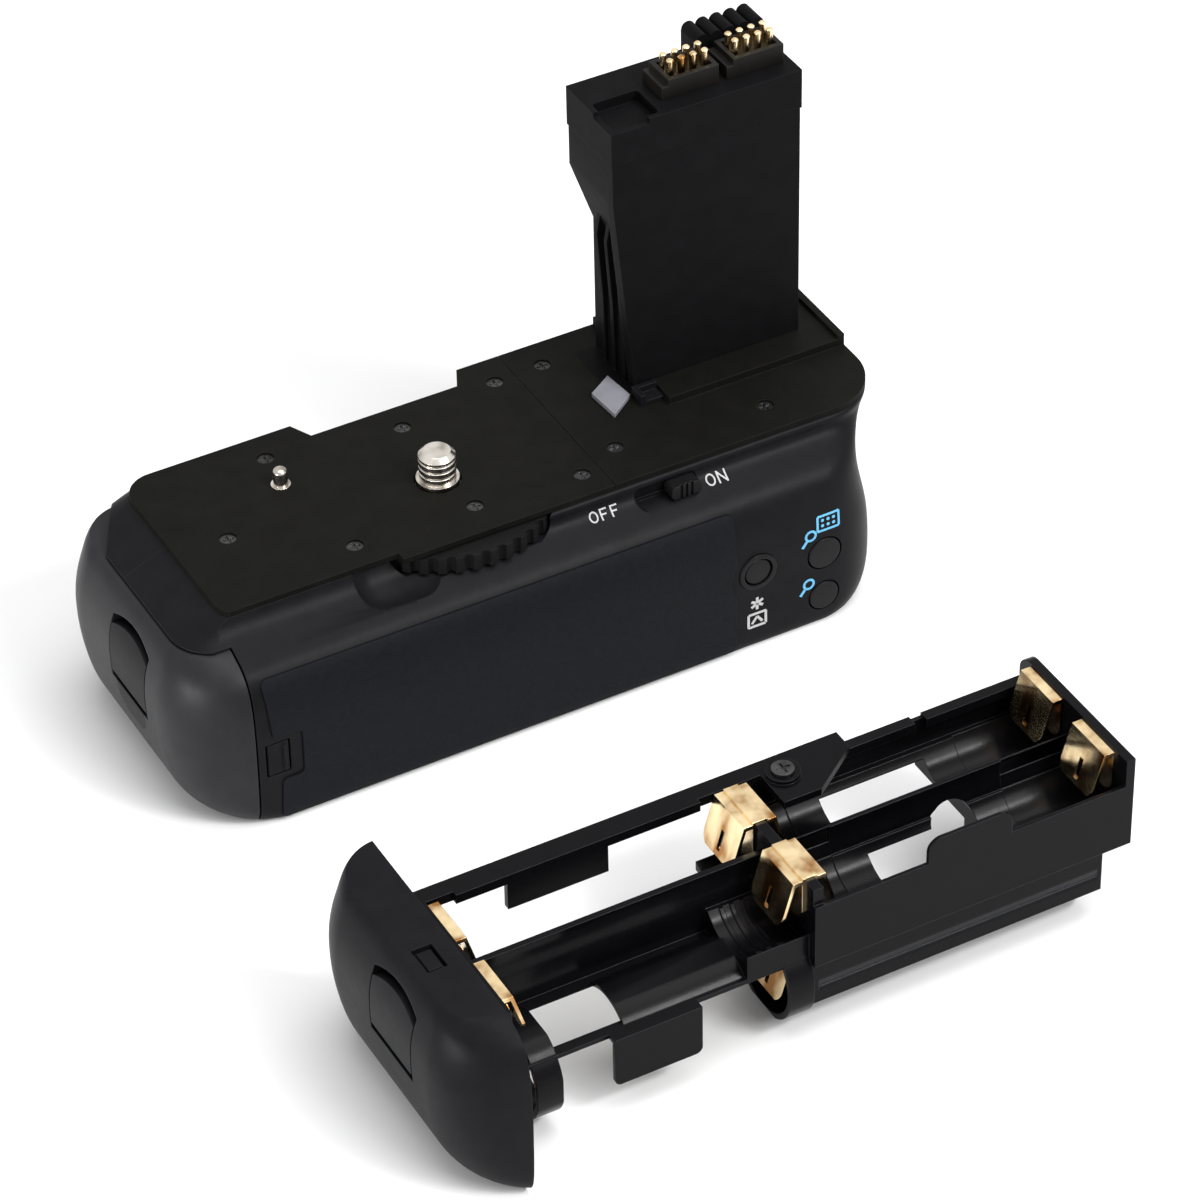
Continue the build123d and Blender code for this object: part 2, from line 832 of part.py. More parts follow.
def post_body():
    x = (post_left_x, post_right_x)
    y = (post_rear_y, post_front_y)
    post = block(x, y, (pocket_low_z, cap_low_z))
    reach = x[0] - overrun
    foot = body_height
    wedge = [(reach, taper_top), (x[0], taper_top), (x[0] + near_taper_in, foot), (reach, foot)]
    post -= prism_y(wedge, (y[0] - overrun, y[1] + overrun))
    deep = [(reach, taper_top), (x[0], taper_top), (x[0] + taper_in, taper_bottom),
            (x[0] + taper_in, foot), (reach, foot)]
    post -= prism_y(deep, (rib_recess_y, y[1] + overrun))
    rib_top = (taper_top + taper_bottom) / 2
    rib = [(x[0] + taper_in, rib_top + taper_in), (x[0] + taper_in - rib_show, taper_bottom),
           (x[0] + taper_in - rib_show / 2, (taper_bottom + foot) / 2),
           (x[0] + taper_in - rib_show / 3, foot), (x[0] + taper_in + rib_thickness, foot)]
    for k in range(3):
        rib_y = rib_first_y + k * rib_pitch
        post += prism_y(rib, (rib_y, rib_y + rib_thickness))
    flange = block((x[0] - foot_flange, x[1] + foot_flange), (y[0] - foot_flange, y[1] + foot_flange),
                   (pocket_low_z, form_height - post_fit))
    return post + flange


def post_cap():
    """Upper end of the post, a little wider than the rest."""
    x = (post_left_x - cap_proud, post_right_x + cap_proud)
    y = (post_rear_y - cap_proud, post_front_y + cap_proud)
    cap = block(x, y, (cap_low_z, post_top))
    low = post_top - cap_recess_down
    corner = rectangle((x[0] + cap_lip, x[0] + cap_recess_width), (y[0] + cap_lip, y[0] + cap_recess_depth))
    cap -= prism_z(corner, (low, post_top + overrun), cap_recess_corner / 3)
    notch = cap_recess_down / 2
    inner_x = x[0] + cap_recess_width - cap_recess_corner
    inner_y = y[0] + cap_recess_depth - cap_recess_corner
    cap -= block((x[0] - overrun, inner_x), (y[0] - overrun, inner_y), (post_top - notch, post_top + overrun))
    return cap


def contact_block(x):
    """Raised block with a slot for the contact pins."""
    y = (block_rear_y, block_rear_y + block_depth)
    body = block((x, x + block_length), y, (post_top, post_top + block_height))
    body -= block((x - overrun, x + block_step), (y[0] - overrun, y[1] + overrun),
                  (post_top + block_height - block_step, post_top + block_height + overrun))
    margin = block_slot
    well = block((x + block_step + margin, x + block_length - margin), (y[0] + margin, y[1] - margin),
                 (post_top + block_height - block_step, post_top + block_height + overrun))
    return body - well


def pin_group(x):
    """Two rows of gold pins standing in one block's slot."""
    middle_x = x + (block_length + block_step) / 2
    middle_y = block_rear_y + block_depth / 2
    floor = post_top + block_height - block_step
    pins = []
    for row in range(pin_rows):
        for column in range(pin_columns):
            px = middle_x + (column - (pin_columns - 1) / 2) * pin_column_pitch
            py = middle_y + (row - (pin_rows - 1) / 2) * pin_row_pitch
            pin = rod_z(px, py, pin_radius, (floor, floor + block_step + pin_standing))
            pins.append(chamfer(pin.edges().group_by(Axis.Z)[-1], pin_radius / 3))
    return pins


def ribbed_stop():
    """Ribbed block along the front edge of the cap."""
    x1 = post_right_x - stop_overhang / 2
    x0 = x1 - stop_length
    y = (post_front_y + stop_overhang - stop_depth, post_front_y + stop_overhang)
    pitch = stop_length / stop_ribs
    rib_radius = pitch / 2 * stop_rib_share
    seat = stop_height - rib_radius
    body = block((x0, x1), (y[0], post_front_y + cap_proud), (post_top, post_top + seat))
    body += block((x0, x1), (post_front_y + cap_proud, y[1]), (post_top - stop_overhang, post_top + seat))
    for k in range(stop_ribs):
        body += rod_y(x0 + (k + 0.5) * pitch, post_top + seat, rib_radius, y)
    return body


def base_pad():
    return prism_z(base_pad_points, (body_height, body_height + base_pad_thickness))


def door_catch():
    """Small catch that takes the place of the camera's battery door spring."""
    x = (catch_x, catch_x + catch_length)
    y = (catch_y, catch_y + catch_width)
    body = block(x, y, (body_height, body_height + catch_height))
    body -= block((x[0] + catch_wall, x[1] + overrun), (y[0] - overrun, y[1] - catch_wall),
                  (body_height + catch_wall, body_height + catch_height + overrun))
    return body


# Switch, buttons and dial

def switch_knob():
    x1 = switch_left_x + switch_length - switch_clearance
    x = (x1 - knob_length, x1)
    z = (switch_low_z + switch_clearance, switch_low_z + switch_height - switch_clearance)
    y = (knob_reach_y, switch_depth_y - switch_clearance)
    knob = prism_y(rectangle(x, z), y, (z[1] - z[0]) / 3)
    middle = (x[0] + x[1]) / 2
    for k in range(knob_ridges):
        gx = middle + (k - (knob_ridges - 1) / 2) * 2 * ridge_width - ridge_width / 2
        groove_z = (z[0] - overrun, z[1] + overrun)
        knob -= block((gx, gx + ridge_width), (y[0] - overrun, y[0] + ridge_depth), groove_z)
    return knob


def switch_body():
    x = (switch_left_x + 2 * switch_clearance, switch_left_x + switch_length - 2 * switch_clearance)
    y = (switch_depth_y + switch_clearance, switch_depth_y + switch_clearance + switch_body_depth)
    return block(x, y, (pocket_low_z, switch_low_z + switch_height - switch_clearance))


def rear_button(place, radius):
    """Round key with a dished face and a flange that keeps it in the housing."""
    x, z = place
    front = rear_face_y - button_stand
    back = rear_face_y + button_depth
    key = rod_y(x, z, radius, (front, back))
    key = fillet(key.edges().group_by(Axis.Y)[0], button_dish)
    return key + rod_y(x, z, radius + button_flange, (back - button_flange_height, back))


def exposure_ring():
    x, z = exposure_place
    y = (rear_face_y - ring_stand, rear_face_y + ring_depth)
    outer = exposure_radius + button_gap + ring_width
    ring = rod_y(x, z, outer, y)
    ring = fillet(ring.edges().group_by(Axis.Y)[0], ring_stand / 2)
    return ring - rod_y(x, z, exposure_radius + button_gap, (y[0] - overrun, y[1] + overrun))


def button_board():
    return button_board_zone(board_margin)


def shutter_button():
    x1 = end_face_x + shutter_stand
    x0 = end_face_x - shutter_depth
    key = rod_x(shutter_y, shutter_z, shutter_radius, (x0, x1))
    key = fillet(key.edges().group_by(Axis.X)[-1], shutter_stand)
    return key + rod_x(shutter_y, shutter_z, shutter_radius + button_flange, (x0, x0 + button_flange_height))


def command_dial():
    half = dial_height / 2
    dial = rod_y(dial_x, dial_z, dial_radius, (dial_y - half, dial_y + half))
    tooth = rod_y(dial_radius, 0, dial_tooth_radius, (dial_y - half - overrun, dial_y + half + overrun))
    teeth = [Pos(dial_x, 0, dial_z) * Rot(0, 360 * k / dial_teeth, 0) * tooth for k in range(dial_teeth)]
    dial -= teeth
    return dial - rod_y(dial_x, dial_z, dial_axle_radius + running_clearance, (0, front_reach + overrun))


def dial_axle():
    reach = dial_height / 2 + dial_pocket_gap + dial_axle_seat
    return rod_y(dial_x, dial_z, dial_axle_radius, (dial_y - reach, dial_y + reach))


# Rubber, flap, bushing and boards

def rear_pad():
    skin = housing_form(pad_proud, pad_proud) - housing_form(-pad_sink, -pad_sink)
    return skin & rear_pad_zone()


def front_pad():
    skin = housing_form(pad_proud, pad_proud) - housing_form(-pad_sink, -pad_sink)
    return skin & front_pad_zone()


def cord_flap():
    x = (flap_left_x, flap_left_x + flap_width)
    z = (flap_low_z, flap_low_z + flap_height)
    y = (rear_face_y, rear_face_y + flap_thickness)
    flap = block(x, y, z)
    hinge_side = [e for e in flap.edges().filter_by(Axis.Z) if e.center().X < x[0] + flap_round]
    flap = fillet(hinge_side, flap_round)
    lip_z = (z[0] + flap_lip, z[1] - flap_lip)
    flap += block((x[1] - 2 * flap_lip, x[1] - flap_lip), (y[0] - flap_lip, y[0]), lip_z)
    pin_x, pin_y = flap_pin_place()
    return flap - rod_z(pin_x, pin_y, flap_pin_radius + running_clearance, (z[0] - overrun, z[1] + overrun))


def flap_pin():
    pin_x, pin_y = flap_pin_place()
    return rod_z(pin_x, pin_y, flap_pin_radius,
                 (flap_low_z - flap_gap - flap_lip, flap_low_z + flap_height + flap_gap + flap_lip))


def tripod_bushing():
    bush = rod_z(0, tripod_y, tripod_bush_radius, (0, tripod_bush_height))
    return bush - rod_z(0, tripod_y, screw_radius, (0 - overrun, tripod_bush_height - screw_flange_height))


def main_board():
    x = (board_pocket_left_x + board_margin, board_pocket_right_x - board_margin)
    y = (board_pocket_rear_y + board_margin, post_rear_y - foot_flange - board_margin)
    return block(x, y, (pocket_low_z, pocket_low_z + board_thickness))


def bay_pin_places():
    middle_z = bay_block_low_z + bay_block_height / 2
    places = []
    for k in range(bay_pin_count):
        y = bay_middle_y + (k - (bay_pin_count - 1) / 2) * bay_pin_pitch
        places.append((y, middle_z))
    return places


def bay_contacts():
    """Domed contacts that press on a tray's end."""
    pins = []
    for y, z in bay_pin_places():
        pin = rod_x(y, z, bay_pin_radius, (bay_end_x - bay_pin_stand, bay_end_x))
        pins.append(fillet(pin.edges().group_by(Axis.X)[0], bay_pin_radius / 2))
    return group(pins)


# End cover with its latch, used by both trays

def lever_outline(gap):
    """Outline of the lever in Y and Z, its top edge bowed."""
    half = latch_width / 2 + gap
    top = latch_pivot_z + latch_rise + gap
    left = (latch_y - half, top - latch_bow)
    right = (latch_y + half, top - latch_bow)
    low = latch_pivot_z
    edges = [
        Line((latch_y - half, low), left),
        ThreePointArc(left, (latch_y, top), right),
        Line(right, (latch_y + half, low)),
        Line((latch_y + half, low), (latch_y - half, low)),
    ]
    return make_face(edges)


def lever_prism(gap, x):
    face = Plane.YZ.offset(x[0]) * lever_outline(gap)
    return extrude(face, amount=x[1] - x[0], dir=(1, 0, 0))


def lobe_prism(gap, x):
    """Rounded foot below the lever."""
    half = lobe_width / 2 + gap
    top = latch_pivot_z - knuckle_radius - 2 * latch_gap + gap
    low = latch_pivot_z - lobe_drop - gap
    points = [(latch_y - half, low), (latch_y + half, low), (latch_y + half, top), (latch_y - half, top)]
    body = prism_x(points, x)
    round_end = [e for e in body.edges().filter_by(Axis.X) if e.center().Z < low + gap + running_clearance]
    return fillet(round_end, lobe_width / 2 - latch_bow)


def pivot_x():
    return -left_reach + latch_gap + knuckle_radius


def latch_pin_span():
    half = latch_width / 2 + latch_gap + latch_pin_seat
    return (latch_y - half, latch_y + half)


def bolt_zone(gap, top):
    x = (bolt_x - bolt_length / 2 - gap, bolt_x + bolt_length / 2 + gap)
    y = (latch_y - bolt_width / 2 - gap, latch_y + bolt_width / 2 + gap)
    low = tongue_underside - cover_gap - bolt_tip_below - bolt_height
    return block(x, y, (low - gap, top))


def below_surface(form, depth):
    """The form moved in from the end face, to cut things at one depth below it."""
    return Pos(depth, 0, 0) * form


def end_cover(form):
    zone = wide((-left_reach - overrun, cover_face_x), (0 - overrun, tongue_underside - cover_gap))
    cover = form & zone
    outside = -left_reach - overrun
    inside = cover_hollow_x
    recess_depth = lever_thickness + latch_gap
    recess = lever_prism(latch_gap, (outside, inside))
    low = latch_pivot_z - knuckle_radius - 2 * latch_gap
    half = latch_width / 2 + latch_gap
    recess += block((outside, inside), (latch_y - half, latch_y + half), (low, latch_pivot_z))
    recess += lobe_prism(0, (outside, inside))
    cover -= recess - below_surface(form, recess_depth)
    cover -= rod_y(pivot_x(), latch_pivot_z, knuckle_radius + latch_gap, (latch_y - half, latch_y + half))
    slot = Pos(0, 0, slot_rise) * lever_prism(latch_gap, (outside, inside))
    slot &= wide((outside, inside), (latch_pivot_z + latch_rise - 2 * latch_bow, body_height))
    cover -= slot - below_surface(form, recess_depth + slot_extra_depth)
    cover -= rod_y(pivot_x(), latch_pivot_z, latch_pin_radius, latch_pin_span())
    cover -= block((cover_hollow_x, cover_face_x + overrun), cover_hollow_y, cover_hollow_z)
    top = tongue_underside + overrun
    return cover - bolt_zone(latch_gap, top) - (Pos(0, 0, -bolt_travel) * bolt_zone(latch_gap, top))


def latch_lever(form):
    """Flap that lifts with a fingernail under its bowed top edge."""
    outside = -left_reach - overrun
    plate = (lever_prism(0, (outside, cover_hollow_x)) & form) - below_surface(form, lever_thickness)
    half = latch_width / 2
    plate += rod_y(pivot_x(), latch_pivot_z, knuckle_radius, (latch_y - half, latch_y + half))
    return plate - rod_y(pivot_x(), latch_pivot_z, latch_pin_radius + running_clearance, latch_pin_span())


def latch_foot(form):
    foot = lobe_prism(0, (-left_reach - overrun, cover_hollow_x)) & form
    return foot - below_surface(form, lever_thickness + latch_gap)


def latch_pin():
    return rod_y(pivot_x(), latch_pivot_z, latch_pin_radius, latch_pin_span())


def latch_bolt():
    return bolt_zone(0, tongue_underside - cover_gap - bolt_tip_below)


# Inner tray for two packs

def inner_tray_walls():
    y0 = bay_middle_y - inner_tray_width / 2
    y1 = bay_middle_y + inner_tray_width / 2
    return y0, y1


def inner_middle_x():
    return cover_face_x + inner_front_wall + pack_length + 2 * cover_gap


def inner_tray_frame():
    y0, y1 = inner_tray_walls()
    middle = inner_middle_x()
    x1 = middle + 2 * inner_end_wall + pack_length + 2 * cover_gap
    x = (cover_face_x, x1)
    deck = block(x, (y0, y1), (inner_deck_z, inner_deck_z + inner_deck_thickness))
    sides = block(x, (y0, y0 + tray_wall), (tray_low_z, inner_wall_top))
    sides += block(x, (y1 - tray_wall, y1), (tray_low_z, inner_wall_top))
    end_y = (y0 + bay_chamfer_across, y1)
    front = block((x[0], x[0] + inner_front_wall), end_y, (inner_deck_z, inner_end_top))
    divider = block((middle, middle + inner_end_wall), (y0, y1), (inner_deck_z, inner_wall_top))
    back = block((x1 - inner_end_wall, x1), (y0, y1), (inner_deck_z, inner_wall_top))
    tray = deck + sides + front + divider + back
    for start in (x[0] + inner_front_wall, middle + inner_end_wall):
        centre = start + pack_length / 2
        tray -= rod_y(centre, inner_wall_top, finger_notch_radius, (y0 - overrun, y1 + overrun))
        window = (start + inner_window_margin, start + pack_length - inner_window_margin)
        window_z = (inner_window_low, inner_deck_z - inner_deck_thickness)
        tray -= block(window, (y0 - overrun, y1 + overrun), window_z)
    return tray


def inner_tray_contacts():
    """Blades that meet each pack's terminals."""
    middle = inner_middle_x()
    blades = []
    for wall in (middle, middle + inner_end_wall + pack_length + 2 * cover_gap):
        for k in range(blade_count):
            y = bay_middle_y + (k - (blade_count - 1) / 2) * blade_pitch
            z0 = inner_deck_z + inner_deck_thickness
            blades.append(block((wall - blade_length, wall), (y - blade_thickness, y + blade_thickness),
                                (z0 + blade_length, z0 + blade_height)))
    return group(blades)


# Tray for six AA cells

def channel(y, z, x):
    return rod_x(y, z, channel_radius, x)


def relief(y, x):
    """Lower ground of an upper channel, clear of its cell."""
    return rod_x(y, upper_cell_z, channel_radius + aa_relief, x)


def aa_lower_box():
    """Closed trough under the right half that holds the third row of cells."""
    y0 = aa_rear_y + aa_ledge_in
    y1 = near_cell_y + channel_radius + aa_wall
    low = tray_low_z
    c = aa_box_chamfer
    points = [(y0, aa_deck_top), (y0, low + c), (y0 + c, low),
              (y1 - c, low), (y1, low + c), (y1, aa_deck_top)]
    box = prism_x(points, (aa_box_left_x, aa_box_right_x))
    e = aa_box_end_chamfer
    end = [(aa_box_right_x - e, low - overrun), (aa_box_right_x + overrun, low - overrun),
           (aa_box_right_x + overrun, low + e + overrun)]
    box -= prism_y(end, (y0 - overrun, y1 + overrun))
    span = (aa_box_left_x + aa_lower_wall, aa_box_right_x - aa_box_end_wall)
    box -= channel(near_cell_y, lower_cell_z, span)
    mouth_x = (aa_box_left_x + aa_saddle_length, aa_box_right_x - aa_saddle_length)
    box -= block(mouth_x, (near_cell_y, y1 + overrun), (low - overrun, lower_cell_z))
    return box


def saddle(y, x):
    """Concave rest under one end of an upper cell."""
    rest = block(x, (y - channel_radius, y + channel_radius / 2), (aa_deck_z, aa_deck_top + aa_saddle_rise))
    return rest - channel(y, upper_cell_z, (x[0] - overrun, x[1] + overrun))


def aa_right_troughs():
    """Two troughs side by side in the right half."""
    span = (aa_middle_end_x, aa_right_inner_x)
    body = block((aa_middle_wall_x, aa_end_x), (aa_rear_y, aa_front_y), (aa_deck_z, aa_divider_top))
    body -= channel(near_cell_y, upper_cell_z, span)
    body -= channel(far_cell_y, upper_cell_z, span)
    for y in (near_cell_y, far_cell_y):
        body -= relief(y, (span[0], aa_window_left_x - aa_saddle_length))
        body -= relief(y, (aa_window_right_x + aa_saddle_length, span[1]))
    z = (aa_deck_top + channel_radius / 2, aa_divider_top + overrun)
    half = aa_divider_thickness / 2
    body -= block(span, (near_cell_y - channel_radius, aa_divider_y - half), z)
    return body - block(span, (aa_divider_y + half, far_cell_y + channel_radius), z)


def aa_left_floor():
    """Flat deck of the near side, the divider, and saddles for the far cell."""
    x = (cover_face_x, aa_middle_wall_x)
    half = aa_divider_thickness / 2
    floor = block(x, (aa_divider_y - half, aa_divider_y + half), (aa_near_deck_low, aa_divider_top))
    floor += block(x, (aa_near_step_y, aa_divider_y), (aa_near_deck_low, aa_near_deck_z))
    floor += saddle(far_cell_y, (cover_face_x, aa_inner_x + aa_saddle_length))
    return floor + saddle(far_cell_y, (aa_middle_wall_x - aa_saddle_length, aa_middle_wall_x))


def aa_walls():
    """End walls, middle wall, rails and the far side wall."""
    x0 = cover_face_x
    end = block((x0, aa_inner_x), (aa_rear_y, aa_front_y), (tray_low_z, aa_rail_top))
    plate_points = rectangle((aa_rear_y, aa_front_y), (aa_deck_z, tray_top_z))
    plate = prism_x(plate_points, (aa_right_inner_x, aa_end_x))
    corner = [e for e in plate.edges().filter_by(Axis.X) if e.center().Y > 0 and e.center().Z > aa_rail_top]
    plate = fillet(corner, aa_plate_corner)
    middle_x = (aa_middle_wall_x, aa_middle_end_x)
    middle = block(middle_x, (aa_rear_y + aa_wall, aa_front_y), (aa_deck_z, aa_middle_top))
    rail_z = (aa_rail_top - aa_rail_thickness, aa_rail_top)
    rail = block((x0, aa_middle_wall_x), (aa_front_y - aa_rail_width, aa_front_y), rail_z)
    dip = aa_rail_top - aa_far_wall_dip
    far_x = (aa_middle_end_x, aa_end_x)
    far = block(far_x, (aa_front_y - aa_wall, aa_front_y), (aa_deck_z, dip))
    far += block(far_x, (aa_front_y - aa_rail_width / 2, aa_front_y), (dip - aa_rail_thickness, dip))
    far -= block((aa_slot_x, aa_slot_x + aa_slot_length), (aa_front_y - aa_rail_width, aa_front_y + overrun),
                 (dip - aa_slot_down, dip + overrun))
    return end + plate + middle + rail + far


def aa_bridge():
    """Flat bridge over the far channel beside the middle wall, with the screw boss."""
    z = (aa_rail_top - aa_bridge_drop, aa_rail_top)
    x1 = aa_bridge_x + aa_bridge_length
    near = far_cell_y - channel_radius / 3
    strip_y = far_cell_y + contact_width / 2 + cover_gap
    wide_x = aa_middle_end_x + contact_leaf_out + 2 * contact_thickness
    points = [(aa_bridge_x, strip_y), (wide_x, strip_y), (wide_x, near), (x1 - aa_bridge_wedge_length, near),
              (x1, aa_front_y - aa_bridge_wedge), (x1, aa_front_y), (aa_bridge_x, aa_front_y)]
    bridge = prism_z(points, z)
    y = far_cell_y + channel_radius / 2
    return bridge + rod_z(aa_screw_x, y, aa_boss_radius, (aa_rail_top, aa_rail_top + aa_boss_height))


def aa_near_wall():
    """Stepped outer wall of the near channel's right half, with its retaining finger."""
    y = (aa_rear_y, aa_rear_y + aa_wall)
    wall = block((aa_middle_wall_x, aa_end_x), y, (aa_ledge_z, aa_right_wall_top - aa_right_wall_step))
    wall += block((aa_right_wall_step_x, aa_end_x), y, (aa_ledge_z, aa_right_wall_top))
    x = (aa_finger_x, aa_finger_x + aa_finger_length)
    tab = rectangle(x, (aa_ledge_z, aa_finger_top))
    return wall + prism_y(tab, (aa_rear_y, aa_rear_y + aa_wall), 2 * aa_tab_thickness)


def aa_tabs():
    """Hanging tabs that keep the left cells in."""
    y1 = aa_front_y - aa_rail_width
    far = block((aa_far_tab_x, aa_far_tab_x + aa_far_tab_length), (y1, y1 + aa_tab_thickness),
                (aa_rail_top - aa_far_tab_drop, aa_rail_top - aa_rail_thickness))
    x = (aa_near_tab_x, aa_near_tab_x + aa_near_tab_length)
    points = rectangle(x, (aa_near_deck_z - aa_near_tab_drop, aa_near_deck_z))
    near = prism_y(points, (aa_rear_y, aa_rear_y + aa_wall), aa_tab_thickness)
    near += block(x, (aa_rear_y, aa_near_step_y + aa_wall), (aa_near_deck_low, aa_near_deck_z))
    return far + near


def aa_hump():
    """Half-round roof over the third channel of the left half."""
    x = (aa_hump_x, aa_hump_x + aa_hump_length)
    shell = rod_x(near_cell_y, lower_cell_z, channel_radius + aa_hump_wall, x)
    return shell & block(x, (aa_near_step_y, aa_divider_y + aa_wall), (aa_near_deck_low, aa_deck_top))


def aa_rings():
    """Supports of the third channel's left cell, at both of its ends."""
    outer = channel_radius + aa_ring_wall
    rings = None
    for start in (aa_ring_x, aa_middle_wall_x - aa_ring_length):
        x = (start, start + aa_ring_length)
        ring = rod_x(near_cell_y, lower_cell_z, outer, x)
        ring &= block(x, (aa_rear_y, near_cell_y + outer), (tray_low_z, aa_deck_top))
        rings = ring if rings is None else rings + ring
    return rings


def aa_ribs():
    """Rest of the near channel beside the middle wall, with raised ribs across it."""
    y = (aa_near_step_y, aa_divider_y)
    z = (aa_near_deck_low, aa_deck_top + aa_saddle_rise)
    span = (aa_rib_x - aa_rib_pitch, aa_middle_wall_x)
    rest = block(span, y, z) - rod_x(near_cell_y, upper_cell_z, channel_radius + aa_rib_height, span)
    for k in range(aa_rib_count):
        start = aa_rib_x + k * aa_rib_pitch
        rest += block((start, start + aa_rib_thickness), y, z)
    return rest


def aa_windows():
    """Opening in the floors of the right troughs, between their saddles and below the divider."""
    x = (aa_window_left_x, aa_window_right_x)
    opening = block(x, (aa_window_near_y, aa_front_y + overrun), (lower_cell_z, aa_window_top_z))
    return opening + rod_y(aa_arch_x, aa_arch_z, aa_arch_radius, (aa_window_near_y, far_cell_y))


def contact_notches():
    """Clearance in the far rail for the contacts beside it."""
    y = (aa_front_y - aa_rail_width - cover_gap, far_cell_y + contact_width / 2 + cover_gap)
    z = (aa_rail_top - aa_rail_thickness - cover_gap, aa_rail_top + overrun)
    reach = contact_leaf_out + 2 * contact_thickness
    notches = block((aa_inner_x, aa_inner_x + reach), y, z)
    return notches + block((aa_middle_wall_x - reach, aa_middle_wall_x), y, z)


def aa_frame():
    frame = aa_right_troughs() + aa_left_floor() + aa_walls() + aa_lower_box() - aa_windows()
    frame = frame + aa_near_wall() + aa_tabs() + aa_hump() + aa_rings() + aa_ribs() + aa_bridge()
    left = (aa_inner_x, aa_middle_wall_x)
    frame -= channel(near_cell_y, lower_cell_z, left)
    return frame - channel(near_cell_y, upper_cell_z, left) - contact_notches()


def leaf_points(x, out, top):
    """Strip that lies on a wall, folds over at the top and leans out; out is +1 or -1 along X."""
    t = contact_thickness
    base_low = top - contact_base_drop
    leaf_low = top - contact_leaf_drop
    return [(x, base_low), (x + out * t, base_low), (x + out * t, top - 2 * t),
            (x + out * contact_fold, top - 2 * t), (x + out * contact_leaf_out, leaf_low),
            (x + out * (contact_leaf_out + t), leaf_low + t), (x + out * (contact_fold + t), top),
            (x, top)]


def contact(x, out, top, y, width):
    """One folded strip with round lower corners and a slot in its leaf."""
    half = width / 2
    body = prism_y(leaf_points(x, out, top), (y - half, y + half))
    reach = 2 * contact_leaf_out
    shape = rectangle((y - half, y + half), (top - contact_base_drop, top + overrun))
    body &= prism_x(shape, (x - reach, x + reach), contact_corner)
    ends = sorted((x + out * 2 * contact_thickness, x + out * reach))
    slot_y = (y - contact_slot_width / 2, y + contact_slot_width / 2)
    low = top - contact_leaf_drop
    return body - block(ends, slot_y, (low + contact_slot_low, low + contact_slot_high))


def aa_left_contacts():
    top = aa_rail_top - contact_thickness
    return group([contact(aa_inner_x, 1, top, y, contact_width) for y in (near_cell_y, far_cell_y)])


def aa_right_contacts():
    top = tray_top_z - contact_thickness
    return group([contact(aa_right_inner_x, -1, top, y, contact_width) for y in (near_cell_y, far_cell_y)])


def aa_middle_contacts():
    """Strips folded over the middle wall, one for each upper channel."""
    t = contact_thickness
    top = aa_middle_top
    strips = []
    for y in (near_cell_y, far_cell_y):
        left = contact(aa_middle_wall_x, -1, top, y, contact_width)
        right = contact(aa_middle_end_x, 1, top, y, contact_width)
        cap_y = (y - contact_width / 2, y + contact_width / 2)
        cap = block((aa_middle_wall_x - t, aa_middle_end_x + t), cap_y, (top, top + t))
        strips.append(left + cap + right)
    return group(strips)


def aa_lower_contacts():
    """Contacts of the third row, at both ends of its two cells."""
    top = lower_cell_z + contact_base_drop / 2
    places = [(aa_inner_x, 1), (aa_box_left_x, -1), (aa_box_left_x + aa_lower_wall, 1),
              (aa_box_right_x - aa_box_end_wall, -1)]
    return group([contact(x, side, top, near_cell_y, lower_contact_width) for x, side in places])


def aa_terminals():
    z = (aa_deck_top + terminal_size, aa_deck_top + 2 * terminal_size)
    pads = []
    for side in (-1, 1):
        y = aa_divider_y + side * terminal_pitch / 2
        pad_y = (y - terminal_size / 2, y + terminal_size / 2)
        pads.append(block((aa_end_x, aa_end_x + terminal_thickness), pad_y, z))
    return group(pads)


def aa_screw():
    y = far_cell_y + channel_radius / 2
    z = aa_rail_top + aa_boss_height
    head = rod_z(aa_screw_x, y, aa_screw_radius, (z, z + aa_screw_height))
    half = slot_width / 2
    arm = aa_screw_radius * 2 / 3
    slot_z = (z + aa_screw_height / 3, z + aa_screw_height + overrun)
    head -= block((aa_screw_x - arm, aa_screw_x + arm), (y - half, y + half), slot_z)
    head -= block((aa_screw_x - half, aa_screw_x + half), (y - arm, y + arm), slot_z)
    return head


def beside(shape):
    """Sets a piece of the AA tray down beside the grip."""
    return Pos(aa_shift_x, aa_shift_y, 0) * shape


